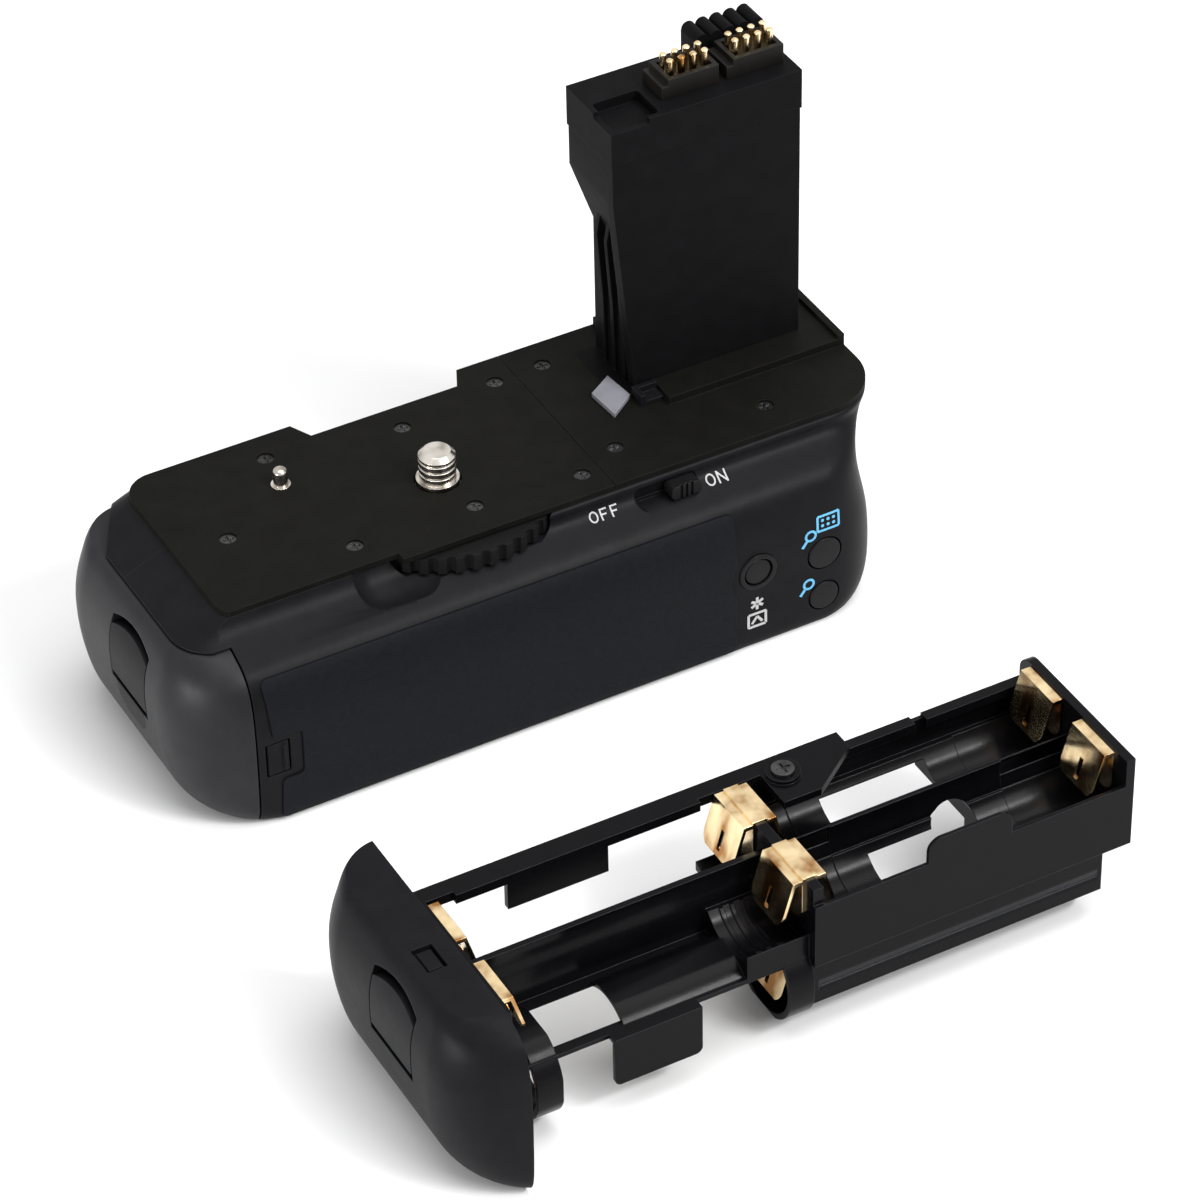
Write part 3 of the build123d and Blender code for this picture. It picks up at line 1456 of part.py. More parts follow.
def build_parts():
    shell = housing()
    rear = rear_half()
    form = housing_form()
    cover = end_cover(form)
    lever = latch_lever(form)
    foot = latch_foot(form)
    return {
        "rear_shell": shell & rear,
        "front_shell": shell - rear,
        "left_top_plate": left_top_plate(),
        "right_top_plate": right_top_plate(),
        "top_plate_screws": plate_screws(),
        "locating_pin": locating_pin(),
        "lock_wheel": lock_wheel(),
        "camera_screw": camera_screw(),
        "wheel_washer": wheel_washer(),
        "post_body": post_body(),
        "post_cap": post_cap(),
        "left_contact_block": contact_block(left_block_x),
        "right_contact_block": contact_block(right_block_x),
        "post_pins": group(pin_group(left_block_x) + pin_group(right_block_x)),
        "ribbed_stop": ribbed_stop(),
        "base_pad": base_pad(),
        "door_catch": door_catch(),
        "switch_knob": switch_knob(),
        "switch_body": switch_body(),
        "exposure_button": rear_button(exposure_place, exposure_radius),
        "exposure_ring": exposure_ring(),
        "focus_button": rear_button(focus_place, focus_radius),
        "lock_button": rear_button(lock_place, lock_radius),
        "button_board": button_board(),
        "shutter_button": shutter_button(),
        "command_dial": command_dial(),
        "dial_axle": dial_axle(),
        "rear_pad": rear_pad(),
        "front_pad": front_pad(),
        "cord_flap": cord_flap(),
        "flap_pin": flap_pin(),
        "tripod_bushing": tripod_bushing(),
        "main_board": main_board(),
        "bay_contact_block": bay_block_zone(),
        "bay_contacts": bay_contacts(),
        "inner_tray_frame": inner_tray_frame(),
        "inner_tray_cover": cover,
        "inner_tray_contacts": inner_tray_contacts(),
        "inner_latch_lever": lever,
        "inner_latch_foot": foot,
        "inner_latch_pin": latch_pin(),
        "inner_latch_bolt": latch_bolt(),
        "aa_frame": beside(aa_frame()),
        "aa_cover": beside(cover),
        "aa_left_contacts": beside(aa_left_contacts()),
        "aa_middle_contacts": beside(aa_middle_contacts()),
        "aa_right_contacts": beside(aa_right_contacts()),
        "aa_lower_contacts": beside(aa_lower_contacts()),
        "aa_terminals": beside(aa_terminals()),
        "aa_screw": beside(aa_screw()),
        "aa_latch_lever": beside(lever),
        "aa_latch_foot": beside(foot),
        "aa_latch_pin": beside(latch_pin()),
        "aa_latch_bolt": beside(latch_bolt()),
    }


os.makedirs("parts", exist_ok=True)
for name, shape in build_parts().items():
    export_step(shape, f"parts/{name}.step")
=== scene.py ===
import bpy
import bmesh
import math
from mathutils import Matrix, Vector
from mathutils.bvhtree import BVHTree


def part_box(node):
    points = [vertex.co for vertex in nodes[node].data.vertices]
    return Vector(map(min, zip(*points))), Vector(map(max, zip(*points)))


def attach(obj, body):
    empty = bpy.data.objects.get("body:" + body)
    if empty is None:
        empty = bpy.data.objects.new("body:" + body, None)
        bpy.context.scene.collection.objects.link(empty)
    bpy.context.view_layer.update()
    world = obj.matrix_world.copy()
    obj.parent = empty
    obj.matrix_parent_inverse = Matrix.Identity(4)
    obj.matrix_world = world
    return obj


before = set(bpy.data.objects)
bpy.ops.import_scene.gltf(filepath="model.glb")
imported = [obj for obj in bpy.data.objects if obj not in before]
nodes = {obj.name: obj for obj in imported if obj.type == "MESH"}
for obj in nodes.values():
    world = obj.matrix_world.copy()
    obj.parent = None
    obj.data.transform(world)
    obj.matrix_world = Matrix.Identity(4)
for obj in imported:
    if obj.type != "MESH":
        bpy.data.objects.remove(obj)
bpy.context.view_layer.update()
MM = 0.001

# Camera at the photograph's angle, as fitted to it
AZIMUTH = math.radians(-28.096)
ELEVATION = math.radians(38.943)
ROLL = math.radians(1.253)
FOCAL_PIXELS = 5104.54
PHOTO_PIXELS = 1200
NEAR_CLIP = 10 * MM
FAR_CLIP = 20000 * MM

# In millimetres, as Blender has it
SENSOR_WIDTH = 36.0

# Where the camera sees the frame's origin: to the right, down and ahead
ORIGIN_IN_VIEW = Vector((-26.487, 9.259, 877.70)) * MM


def camera_axes():
    """The camera's right, down and forward directions."""
    back = Vector((math.sin(AZIMUTH) * math.cos(ELEVATION), -math.cos(AZIMUTH) * math.cos(ELEVATION),
                   math.sin(ELEVATION)))
    forward = -back
    right = Vector((math.cos(AZIMUTH), math.sin(AZIMUTH), 0))
    down = forward.cross(right)
    turned_right = right * math.cos(ROLL) + down * math.sin(ROLL)
    turned_down = -right * math.sin(ROLL) + down * math.cos(ROLL)
    return turned_right, turned_down, forward


def make_camera():
    """Makes the camera and gives its place."""
    right, down, forward = camera_axes()
    place = -(right * ORIGIN_IN_VIEW.x + down * ORIGIN_IN_VIEW.y + forward * ORIGIN_IN_VIEW.z)
    data = bpy.data.cameras.new("photo_camera")
    data.sensor_width = SENSOR_WIDTH
    data.lens = FOCAL_PIXELS / PHOTO_PIXELS * SENSOR_WIDTH
    data.clip_start = NEAR_CLIP
    data.clip_end = FAR_CLIP
    camera = bpy.data.objects.new("photo_camera", data)
    bpy.context.scene.collection.objects.link(camera)
    turn = Matrix((right, -down, -forward)).transposed().to_4x4()
    camera.matrix_world = Matrix.Translation(place) @ turn
    bpy.context.scene.camera = camera
    return place


def pixel_direction(px, py):
    """Direction of the line of sight through a pixel of the photograph."""
    right, down, forward = camera_axes()
    half = PHOTO_PIXELS / 2
    return (right * (px - half) + down * (py - half) + forward * FOCAL_PIXELS).normalized()


# Materials

EDGE_SAMPLES = 6

# Cosines between the softened and the true normal where the paler edge starts and where it is full; the
# paler edge is partly wear and partly a painted highlight
WEAR_AND_HIGHLIGHT_STARTS = 0.99
WEAR_AND_HIGHLIGHT_IS_FULL = 0.8

# Share of the paler edge, wear and painted highlight, that is left where the noise is weakest
LEAST_WEAR_AND_HIGHLIGHT = 0.25

# Places on a colour ramp
DARKER_PLACE = 0.3
LIGHTER_PLACE = 0.7


class Shader:
    """A Principled material with short ways to add nodes."""

    def __init__(self, name, color, roughness, metallic=0.0, specular=0.5):
        self.material = bpy.data.materials.new(name)
        self.material.use_nodes = True
        self.tree = self.material.node_tree
        self.principled = self.tree.nodes["Principled BSDF"]
        self.principled.inputs["Base Color"].default_value = (*color, 1)
        self.principled.inputs["Roughness"].default_value = roughness
        self.principled.inputs["Metallic"].default_value = metallic
        self.principled.inputs["Specular IOR Level"].default_value = specular
        self.coordinates = self.add("ShaderNodeTexCoord").outputs["Object"]

    def add(self, kind, **inputs):
        node = self.tree.nodes.new(kind)
        for key, value in inputs.items():
            node.inputs[key.replace("_", " ")].default_value = value
        return node

    def link(self, source, target):
        self.tree.links.new(source, target)

    def noise(self, size, detail=2.0, roughness=0.5, stretch=None):
        """Noise whose features are about the given size in metres."""
        node = self.add("ShaderNodeTexNoise", Scale=1 / size, Detail=detail, Roughness=roughness)
        source = self.coordinates
        if stretch:
            mapping = self.add("ShaderNodeMapping")
            mapping.inputs["Scale"].default_value = stretch
            self.link(source, mapping.inputs["Vector"])
            source = mapping.outputs["Vector"]
        self.link(source, node.inputs["Vector"])
        return node.outputs["Fac"]

    def cells(self, size):
        """Distance from the middles of cells of about the given size in metres."""
        node = self.add("ShaderNodeTexVoronoi", Scale=1 / size)
        self.link(self.coordinates, node.inputs["Vector"])
        return node.outputs["Distance"]

    def ramp(self, source, stops):
        """Colours along a value from 0 to 1, from pairs of a place and a colour."""
        node = self.add("ShaderNodeValToRGB")
        elements = node.color_ramp.elements
        while len(elements) < len(stops):
            elements.new(0.5)
        for element, (place, color) in zip(elements, stops):
            element.position = place
            element.color = (*color, 1)
        self.link(source, node.inputs["Fac"])
        return node.outputs["Color"]

    def spread(self, source, low, high):
        """A value from 0 to 1, spread over the range from low to high."""
        node = self.add("ShaderNodeMapRange")
        node.inputs["To Min"].default_value = low
        node.inputs["To Max"].default_value = high
        self.link(source, node.inputs["Value"])
        return node.outputs["Result"]

    def color(self, source, stops):
        self.link(self.ramp(source, stops), self.principled.inputs["Base Color"])

    def roughness(self, source, low, high):
        self.link(self.spread(source, low, high), self.principled.inputs["Roughness"])

    def bump(self, source, strength, depth):
        """Adds a bump on top of those already there."""
        node = self.add("ShaderNodeBump", Strength=strength, Distance=depth)
        self.link(source, node.inputs["Height"])
        normal = self.principled.inputs["Normal"]
        if normal.is_linked:
            self.link(normal.links[0].from_socket, node.inputs["Normal"])
        self.link(node.outputs["Normal"], normal)

    def soft_edges(self, radius):
        """Shades the edges as if they were rounded."""
        node = self.add("ShaderNodeBevel", Radius=radius)
        node.samples = EDGE_SAMPLES
        self.rounded = node.outputs["Normal"]
        self.link(self.rounded, self.principled.inputs["Normal"])

    def edge_mask(self, patchy):
        """About 1 along edges and 0 on flat ground, broken up by a noise."""
        geometry = self.add("ShaderNodeNewGeometry")
        dot = self.add("ShaderNodeVectorMath")
        dot.operation = "DOT_PRODUCT"
        self.link(self.rounded, dot.inputs[0])
        self.link(geometry.outputs["Normal"], dot.inputs[1])
        mask = self.add("ShaderNodeMapRange")
        mask.inputs["From Min"].default_value = WEAR_AND_HIGHLIGHT_STARTS
        mask.inputs["From Max"].default_value = WEAR_AND_HIGHLIGHT_IS_FULL
        self.link(dot.outputs["Value"], mask.inputs["Value"])
        product = self.add("ShaderNodeMath")
        product.operation = "MULTIPLY"
        self.link(mask.outputs["Result"], product.inputs[0])
        self.link(self.spread(patchy, LEAST_WEAR_AND_HIGHLIGHT, 1.0), product.inputs[1])
        return product.outputs["Value"]

    def worn_and_highlit_color(self, source, stops, edge_wear_and_highlight_color, patchy):
        """A varied colour that turns paler along the edges, partly from wear and partly as a painted
        highlight.
        """
        mix = self.add("ShaderNodeMix")
        mix.data_type = "RGBA"
        factor, first, second = mix.inputs[0], mix.inputs[6], mix.inputs[7]
        self.link(self.edge_mask(patchy), factor)
        self.link(self.ramp(source, stops), first)
        second.default_value = (*edge_wear_and_highlight_color, 1)
        self.link(mix.outputs[2], self.principled.inputs["Base Color"])


def tones(color, spread):
    """A darker and a lighter tone around a colour, with their places on the ramp."""
    low = tuple(c * (1 - spread) for c in color)
    high = tuple(c * (1 + spread) for c in color)
    return [(DARKER_PLACE, low), (LIGHTER_PLACE, high)]


def moulded(name, color, roughness, grain, strength, specular=0.12, wear_and_highlight=3.0):
    """Moulded plastic with a spark-eroded grain, uneven sheen and softened edges, made paler by wear and a
    painted highlight.
    """
    edge_radius = 0.25 * MM
    cloud = 4 * MM
    patch = 0.7 * MM
    sheen = 1.6 * MM
    smoother, rougher = 0.06, 0.08
    grain_depth = grain * 0.12
    # Edge colour, wear plus a painted highlight, as a multiple of the plastic's colour
    edge_wear_and_highlight_color = tuple(c * wear_and_highlight for c in color)
    s = Shader(name, color, roughness, specular=specular)
    s.soft_edges(edge_radius)
    s.worn_and_highlit_color(s.noise(cloud, detail=4), tones(color, spread=0.14), edge_wear_and_highlight_color, s.noise(patch, detail=3))
    s.roughness(s.noise(sheen, detail=5, roughness=0.7), roughness - smoother, roughness + rougher)
    s.bump(s.noise(grain), strength, grain_depth)
    return s.material


def rubber(name, color):
    """Rubber skin with a fine pebbled surface."""
    edge_radius = 0.2 * MM
    cloud = 1.2 * MM
    sheen = 0.8 * MM
    pebble, pebble_depth = 0.42 * MM, 0.06 * MM
    grain, grain_depth = 0.16 * MM, 0.03 * MM
    s = Shader(name, color, roughness=0.62, specular=0.09)
    s.soft_edges(edge_radius)
    s.color(s.noise(cloud, detail=4, roughness=0.7), tones(color, spread=0.22))
    s.roughness(s.noise(sheen, detail=3), low=0.5, high=0.72)
    s.bump(s.cells(pebble), strength=0.5, depth=pebble_depth)
    s.bump(s.noise(grain), strength=0.35, depth=grain_depth)
    return s.material


def plated(name, low, high, roughness, reflection_streak=3 * MM):
    """Metal with painted reflections, darker and lighter tones in soft upright streaks, and drawing marks.
    """
    edge_radius = 0.12 * MM
    mark, mark_depth = 0.4 * MM, 0.03 * MM
    long_in_y = (1, 0.08, 1)
    long_in_z = (1, 1, 0.4)
    smoother, rougher = 0.06, 0.14
    middle = tuple((a + 2 * b) / 3 for a, b in zip(low, high))
    s = Shader(name, high, roughness, metallic=1.0)
    s.soft_edges(edge_radius)
    # Painted reflections: darker and lighter tones of the metal in upright streaks
    s.color(s.noise(reflection_streak, stretch=long_in_z), [(0.34, low), (0.5, middle), (0.66, high)])
    s.roughness(s.noise(reflection_streak / 4, detail=4, roughness=0.7), roughness - smoother, roughness + rougher)
    s.bump(s.noise(mark, detail=3, roughness=0.6, stretch=long_in_y), strength=0.12, depth=mark_depth)
    return s.material


def printed(name, color):
    """Screen-printed ink."""
    speckle = 0.3 * MM
    grain, grain_depth = 0.1 * MM, 0.01 * MM
    s = Shader(name, color, roughness=0.45, specular=0.3)
    s.color(s.noise(speckle, detail=3, roughness=0.7), tones(color, spread=0.08))
    s.bump(s.noise(grain), strength=0.2, depth=grain_depth)
    return s.material


def board(name):
    """Green lacquered circuit board with uneven fields."""
    field, field_depth = 2.4 * MM, 0.03 * MM
    lacquer, dark, light = (0.02, 0.12, 0.05), (0.015, 0.09, 0.035), (0.03, 0.16, 0.07)
    s = Shader(name, lacquer, roughness=0.35)
    s.color(s.cells(field), [(0.2, dark), (0.8, light)])
    s.bump(s.cells(field), strength=0.2, depth=field_depth)
    return s.material


SHELL = moulded("shell_plastic", color=(0.0066, 0.0066, 0.0076), roughness=0.38,
                grain=0.22 * MM, strength=0.35, specular=0.055)
PLATE = moulded("plate_plastic", color=(0.0058, 0.0057, 0.0048), roughness=0.55,
                grain=0.3 * MM, strength=0.5, specular=0.04)
# The post's plastic is the shell's plastic painted darker: painted shade on the post
POST_PAINTED_DARKER = moulded("post_plastic", color=(0.0046, 0.0046, 0.0051), roughness=0.5,
               grain=0.2 * MM, strength=0.3, specular=0.03)
# The tray's edges are painted far paler: partly wear and partly a painted highlight along its rails and
# edges
TRAY = moulded("tray_plastic", color=(0.0026, 0.0026, 0.0032), roughness=0.22,
               grain=0.5 * MM, strength=0.12, specular=0.08, wear_and_highlight=9.0)
# The cover's plastic is the shell's plastic painted lighter: painted light on the end cover, which faces
# the left lamp
COVER_PAINTED_LIGHTER = moulded("cover_plastic", color=(0.0120, 0.0120, 0.0136), roughness=0.42,
                grain=0.22 * MM, strength=0.35, specular=0.16)
KEY = moulded("key_plastic", color=(0.0060, 0.0060, 0.0064), roughness=0.36,
              grain=0.25 * MM, strength=0.25)
BLOCK = moulded("block_plastic", color=(0.0075, 0.0068, 0.0060), roughness=0.4,
                grain=0.3 * MM, strength=0.25)
PALE = moulded("pale_plastic", color=(0.2, 0.2, 0.225), roughness=0.5,
               grain=0.3 * MM, strength=0.25, specular=0.3, wear_and_highlight=1.4)
SKIN = rubber("grip_rubber", color=(0.0048, 0.0052, 0.0072))
WHEEL = rubber("wheel_rubber", color=(0.0050, 0.0050, 0.0050))
GOLD = plated("gold_plate", low=(0.36, 0.17, 0.05), high=(1.0, 0.80, 0.48), roughness=0.14,
              reflection_streak=4.2 * MM)
STEEL = plated("bright_steel", low=(0.30, 0.27, 0.23), high=(0.72, 0.68, 0.62), roughness=0.2)
DARK_STEEL = plated("blackened_steel", low=(0.04, 0.04, 0.04), high=(0.08, 0.08, 0.08), roughness=0.35)
WHITE_INK = printed("white_ink", color=(0.42, 0.42, 0.42))
CYAN_INK = printed("cyan_ink", color=(0.12, 0.42, 0.68))
BOARD = board("circuit_board")

# A node that isn't named here is made of the shell's plastic
NODES_BY_MATERIAL = [
    (PLATE, ["left_top_plate", "right_top_plate"]),
    (POST_PAINTED_DARKER, ["post_body", "post_cap", "ribbed_stop"]),
    (TRAY, ["inner_tray_frame", "aa_frame"]),
    (COVER_PAINTED_LIGHTER, ["inner_tray_cover"]),
    (KEY, ["switch_knob", "exposure_button", "exposure_ring", "focus_button", "lock_button",
           "shutter_button", "command_dial"]),
    (BLOCK, ["left_contact_block", "right_contact_block"]),
    (PALE, ["base_pad"]),
    (SKIN, ["rear_pad", "front_pad"]),
    (WHEEL, ["lock_wheel"]),
    (GOLD, ["post_pins", "bay_contacts", "inner_tray_contacts", "aa_left_contacts",
            "aa_middle_contacts", "aa_right_contacts", "aa_lower_contacts", "aa_terminals"]),
    (STEEL, ["locating_pin", "camera_screw", "wheel_washer", "dial_axle", "flap_pin",
             "tripod_bushing", "inner_latch_pin", "aa_latch_pin"]),
    (DARK_STEEL, ["top_plate_screws", "aa_screw"]),
    (BOARD, ["button_board", "main_board"]),
]

WELD_DISTANCE = 0.002 * MM
LARGEST_SMOOTH_ANGLE = math.radians(32)


def smoothing_group():
    """Node group that leaves smooth only the edges up to the largest smooth angle."""
    group = bpy.data.node_groups.new("sharp_edges", "GeometryNodeTree")
    group.interface.new_socket("Geometry", in_out="INPUT", socket_type="NodeSocketGeometry")
    group.interface.new_socket("Geometry", in_out="OUTPUT", socket_type="NodeSocketGeometry")
    entry = group.nodes.new("NodeGroupInput")
    leave = group.nodes.new("NodeGroupOutput")
    edge_angle = group.nodes.new("GeometryNodeInputMeshEdgeAngle")
    compare = group.nodes.new("FunctionNodeCompare")
    compare.data_type = "FLOAT"
    compare.operation = "LESS_EQUAL"
    compare.inputs["B"].default_value = LARGEST_SMOOTH_ANGLE
    smooth = group.nodes.new("GeometryNodeSetShadeSmooth")
    smooth.domain = "EDGE"
    group.links.new(edge_angle.outputs["Unsigned Angle"], compare.inputs["A"])
    group.links.new(compare.outputs["Result"], smooth.inputs["Shade Smooth"])
    group.links.new(entry.outputs["Geometry"], smooth.inputs["Geometry"])
    group.links.new(smooth.outputs["Geometry"], leave.inputs["Geometry"])
    return group


def finish_cad_nodes():
    """Gives each CAD node its material and smooth shading across its small facets."""
    materials = {name: material for material, names in NODES_BY_MATERIAL for name in names}
    group = smoothing_group()
    for name, node in nodes.items():
        node.data.materials.clear()
        node.data.materials.append(materials.get(name, SHELL))
        if "custom_normal" in node.data.attributes:
            node.data.attributes.remove(node.data.attributes["custom_normal"])
        for polygon in node.data.polygons:
            polygon.use_smooth = True
        weld = node.modifiers.new("weld", "WELD")
        weld.merge_threshold = WELD_DISTANCE
        sharp = node.modifiers.new("sharp", "NODES")
        sharp.node_group = group


def add_object(name, mesh, material):
    """Makes an object from a finished bmesh, which is freed."""
    data = bpy.data.meshes.new(name)
    mesh.normal_update()
    mesh.to_mesh(data)
    mesh.free()
    data.materials.append(material)
    item = bpy.data.objects.new(name, data)
    bpy.context.scene.collection.objects.link(item)
    return item


# Marks printed on the housing, drawn as flat polygons about the middle, in units of the mark's size

ROUND_SIDES = 20
DOT_SIDES = 12

# A line is cut into as many equal lengths of at least this much as it holds
CUT_LENGTH = 0.25


def stroke(a, b, width):
    """A thin quad from one point to another."""
    dx, dy = b[0] - a[0], b[1] - a[1]
    length = math.hypot(dx, dy)
    nx, ny = -dy / length * width / 2, dx / length * width / 2
    return [(a[0] + nx, a[1] + ny), (b[0] + nx, b[1] + ny), (b[0] - nx, b[1] - ny), (a[0] - nx, a[1] - ny)]


def path(points, width, closed=False):
    """Quads along a line of points, cut into short lengths so that they follow a curved surface."""
    quads = []
    ends = list(zip(points, points[1:]))
    if closed:
        ends.append((points[-1], points[0]))
    for a, b in ends:
        steps = max(1, int(math.hypot(b[0] - a[0], b[1] - a[1]) / CUT_LENGTH))
        for k in range(steps):
            p = (a[0] + (b[0] - a[0]) * k / steps, a[1] + (b[1] - a[1]) * k / steps)
            q = (a[0] + (b[0] - a[0]) * (k + 1) / steps, a[1] + (b[1] - a[1]) * (k + 1) / steps)
            quads.append(stroke(p, q, width))
    return quads


def oval(x, y, half_width, half_height, sides=ROUND_SIDES):
    """Points around an oval."""
    angles = [2 * math.pi * k / sides for k in range(sides)]
    return [(x + half_width * math.cos(a), y + half_height * math.sin(a)) for a in angles]


def rectangle(half_width, half_height):
    """Corners of a rectangle about the middle."""
    return [(-half_width, -half_height), (half_width, -half_height),
            (half_width, half_height), (-half_width, half_height)]


LETTER_PITCH = 0.95
LETTER_STROKE = 0.13
O_HALF_WIDTH = 0.33
O_HALF_HEIGHT = 0.43
LETTER_LINES = {
    "N": [[(-0.32, -0.5), (-0.32, 0.5)], [(-0.32, 0.45), (0.32, -0.45)], [(0.32, -0.5), (0.32, 0.5)]],
    "F": [[(-0.28, -0.5), (-0.28, 0.5)], [(-0.28, 0.43), (0.3, 0.43)], [(-0.28, 0.0), (0.2, 0.0)]],
}


def word(text):
    """A word of the letters O, N and F, which are about one unit high."""
    quads = []
    start = -(len(text) - 1) * LETTER_PITCH / 2
    for k, letter in enumerate(text):
        x = start + k * LETTER_PITCH
        if letter == "O":
            quads += path(oval(x, 0, O_HALF_WIDTH, O_HALF_HEIGHT), LETTER_STROKE, closed=True)
        else:
            for line in LETTER_LINES[letter]:
                quads += path([(x + u, v) for u, v in line], LETTER_STROKE)
    return quads


def star():
    """Three crossed strokes."""
    strokes, half_length, width = 3, 0.5, 0.2
    quads = []
    for k in range(strokes):
        angle = math.pi * k / strokes + math.pi / 6
        u, v = half_length * math.cos(angle), half_length * math.sin(angle)
        quads += path([(-u, -v), (u, v)], width)
    return quads


def roofed_frame():
    """A rectangular frame with a roof-shaped line in it."""
    width = 0.14
    roof = [(-0.3, -0.2), (0.0, 0.2), (0.3, -0.2)]
    return path(rectangle(0.5, 0.4), width, closed=True) + path(roof, width)


def grid():
    """A rectangular frame with two rows of three dots."""
    width, dot_radius, dot_pitch = 0.1, 0.075, 0.26
    polygons = path(rectangle(0.5, 0.36), width, closed=True)
    for column in (-1, 0, 1):
        for row in (-0.5, 0.5):
            polygons.append(oval(dot_pitch * column, dot_pitch * row, dot_radius, dot_radius, DOT_SIDES))
    return polygons


def lens():
    """A magnifying glass with its handle down to the left."""
    rim_radius, rim_width, handle_width = 0.3, 0.14, 0.16
    rim = path(oval(0.1, 0.15, rim_radius, rim_radius), rim_width, closed=True)
    return rim + path([(-0.12, -0.1), (-0.42, -0.5)], handle_width)


# Where the photograph shows the middle of each mark, in its pixels
OFF_PLACE = (604, 514)
ON_PLACE = (716, 478)
STAR_PLACE = (757, 603)
FRAME_PLACE = (757, 619)
GRID_PLACE = (828, 521)
UPPER_LENS_PLACE = (809, 539)
LOWER_LENS_PLACE = (807, 587)

# About the height of the letters and the width of the signs
OFF_SIZE = 2.1 * MM
ON_SIZE = 2.3 * MM
STAR_SIZE = 2.6 * MM
FRAME_SIZE = 3.4 * MM
GRID_SIZE = 4.2 * MM
LENS_SIZE = 3.2 * MM

# How far above the housing a mark is drawn, and how thick its ink is
INK_LIFT = 0.04 * MM
INK_THICKNESS = 1.5 * INK_LIFT

# How far above a mark the search for the housing below it starts
SEARCH_HEIGHT = 4 * MM


def surface_of(node_name):
    """Search tree over the triangles of a CAD node."""
    mesh = nodes[node_name].data
    mesh.calc_loop_triangles()
    return BVHTree.FromPolygons([v.co.copy() for v in mesh.vertices],
                                [tuple(t.vertices) for t in mesh.loop_triangles])


def print_mark(name, polygons, housing, pixel, ink, size):
    """Lays the polygons on the housing, where the line of sight through a pixel meets it."""
    sight = pixel_direction(*pixel)
    place, normal = housing.ray_cast(camera_place, sight)[:2]
    if normal.dot(sight) > 0:
        normal = -normal
    across = Vector((1, 0, 0))
    across = (across - normal * across.dot(normal)).normalized()
    up = normal.cross(across)
    mesh = bmesh.new()
    for outline in polygons:
        corners = []
        for u, v in outline:
            point = place + across * (u * size) + up * (v * size)
            below = housing.ray_cast(point + normal * SEARCH_HEIGHT, -normal)[0]
            if below is not None:
                point = below
            corners.append(mesh.verts.new(point + normal * INK_LIFT))
        mesh.faces.new(corners)
    piece = add_object(name, mesh, ink)
    solid = piece.modifiers.new("ink", "SOLIDIFY")
    solid.thickness = INK_THICKNESS
    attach(piece, "grip")


def print_legends():
    """Prints every mark on the rear half of the housing."""
    housing = surface_of("rear_shell")
    print_mark("off_legend", word("OFF"), housing, OFF_PLACE, WHITE_INK, OFF_SIZE)
    print_mark("on_legend", word("ON"), housing, ON_PLACE, WHITE_INK, ON_SIZE)
    print_mark("star_mark", star(), housing, STAR_PLACE, WHITE_INK, STAR_SIZE)
    print_mark("frame_mark", roofed_frame(), housing, FRAME_PLACE, WHITE_INK, FRAME_SIZE)
    print_mark("grid_mark", grid(), housing, GRID_PLACE, CYAN_INK, GRID_SIZE)
    print_mark("lens_mark_upper", lens(), housing, UPPER_LENS_PLACE, CYAN_INK, LENS_SIZE)
    print_mark("lens_mark_lower", lens(), housing, LOWER_LENS_PLACE, CYAN_INK, LENS_SIZE)


# Upper ends of the latch bolts, which the solids leave off

TIP_HEIGHT = 1.4 * MM
TIP_CHAMFER = 0.35 * MM


def bolt_tip(name, node_name, body):
    """Chamfered end that fills the slot in the end cover's top and moves with its bolt."""
    low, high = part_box(node_name)
    size = Vector((high.x - low.x, high.y - low.y, TIP_HEIGHT))
    centre = Vector(((low.x + high.x) / 2, (low.y + high.y) / 2, high.z + TIP_HEIGHT / 2))
    mesh = bmesh.new()
    bmesh.ops.create_cube(mesh, size=1.0)
    for vertex in mesh.verts:
        vertex.co = centre + Vector(a * b for a, b in zip(vertex.co, size))
    upper = [edge for edge in mesh.edges if all(v.co.z > centre.z for v in edge.verts)]
    bmesh.ops.bevel(mesh, geom=upper, offset=TIP_CHAMFER, segments=2, affect="EDGES")
    piece = add_object(name, mesh, SHELL)
    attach(piece, body)


# Studio, in metres and watts

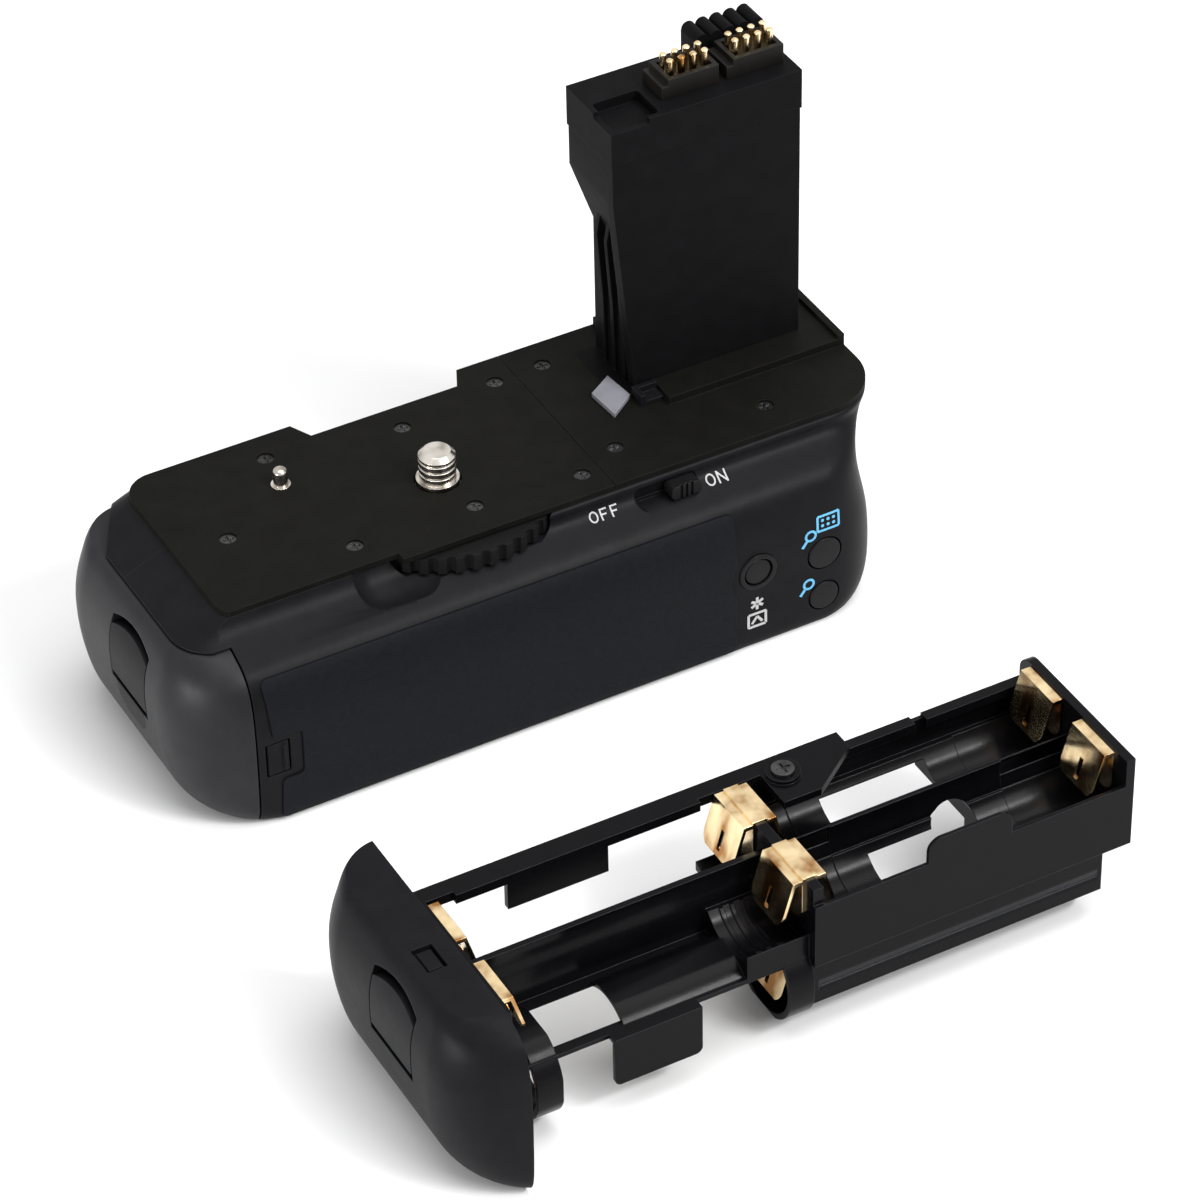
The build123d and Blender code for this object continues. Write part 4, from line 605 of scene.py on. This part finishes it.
# Each lamp's name, place, the point that it faces, its width and height, and its power
LAMPS = [
    ("overhead_softbox", (0.1, -0.1, 1.1), (0, -0.04, 0.02), (0.9, 0.9), 9),
    ("viewer_softbox", (0.45, -0.95, 0.85), (0.02, -0.04, 0.03), (0.7, 0.5), 8),
    ("edge_softbox", (0.44, -0.70, 0.86), (0.02, -0.02, 0.03), (0.3, 0.1), 5),
    ("left_softbox", (-0.45, -0.14, 0.03), (-0.05, -0.04, 0.02), (0.22, 0.16), 2),
]
WORLD_AS_LIGHT = 0.5
WORLD_AS_SEEN = 1.0
PAPER_HALF_WIDTH = 3.0
PAPER_COLOR = (0.86, 0.86, 0.86)
PAPER_CLOUD = 0.4


def area_light(name, place, target, size, power):
    data = bpy.data.lights.new(name, "AREA")
    data.shape = "RECTANGLE"
    data.size, data.size_y = size
    data.energy = power
    lamp = bpy.data.objects.new(name, data)
    lamp.location = place
    direction = Vector(target) - Vector(place)
    lamp.rotation_euler = direction.to_track_quat("-Z", "Y").to_euler()
    bpy.context.scene.collection.objects.link(lamp)


def make_world():
    """White world that lights more weakly than it shows, in mirrors and behind glass too."""
    world = bpy.data.worlds.new("studio")
    bpy.context.scene.world = world
    world.use_nodes = True
    tree = world.node_tree
    background = tree.nodes["Background"]
    background.inputs["Color"].default_value = (1, 1, 1, 1)
    rays = tree.nodes.new("ShaderNodeLightPath")
    seen = rays.outputs["Is Camera Ray"]
    for kind in ("Is Transmission Ray", "Is Glossy Ray"):
        either = tree.nodes.new("ShaderNodeMath")
        either.operation = "MAXIMUM"
        tree.links.new(seen, either.inputs[0])
        tree.links.new(rays.outputs[kind], either.inputs[1])
        seen = either.outputs[0]
    strength = tree.nodes.new("ShaderNodeMapRange")
    strength.inputs["To Min"].default_value = WORLD_AS_LIGHT
    strength.inputs["To Max"].default_value = WORLD_AS_SEEN
    tree.links.new(seen, strength.inputs["Value"])
    tree.links.new(strength.outputs["Result"], background.inputs["Strength"])


def make_floor():
    """White paper that the object stands on."""
    mesh = bmesh.new()
    bmesh.ops.create_grid(mesh, x_segments=8, y_segments=8, size=PAPER_HALF_WIDTH)
    s = Shader("floor_paper", PAPER_COLOR, roughness=0.9, specular=0.1)
    s.color(s.noise(PAPER_CLOUD), tones(PAPER_COLOR, spread=0.01))
    floor = add_object("studio_floor", mesh, s.material)


camera_place = make_camera()
make_world()
make_floor()
for lamp in LAMPS:
    area_light(*lamp)

finish_cad_nodes()
print_legends()
bolt_tip("inner_bolt_tip", "inner_latch_bolt", "inner_bolt")
bolt_tip("aa_bolt_tip", "aa_latch_bolt", "aa_bolt")

bpy.context.scene.view_settings.view_transform = "Standard"
bpy.context.view_layer.update()
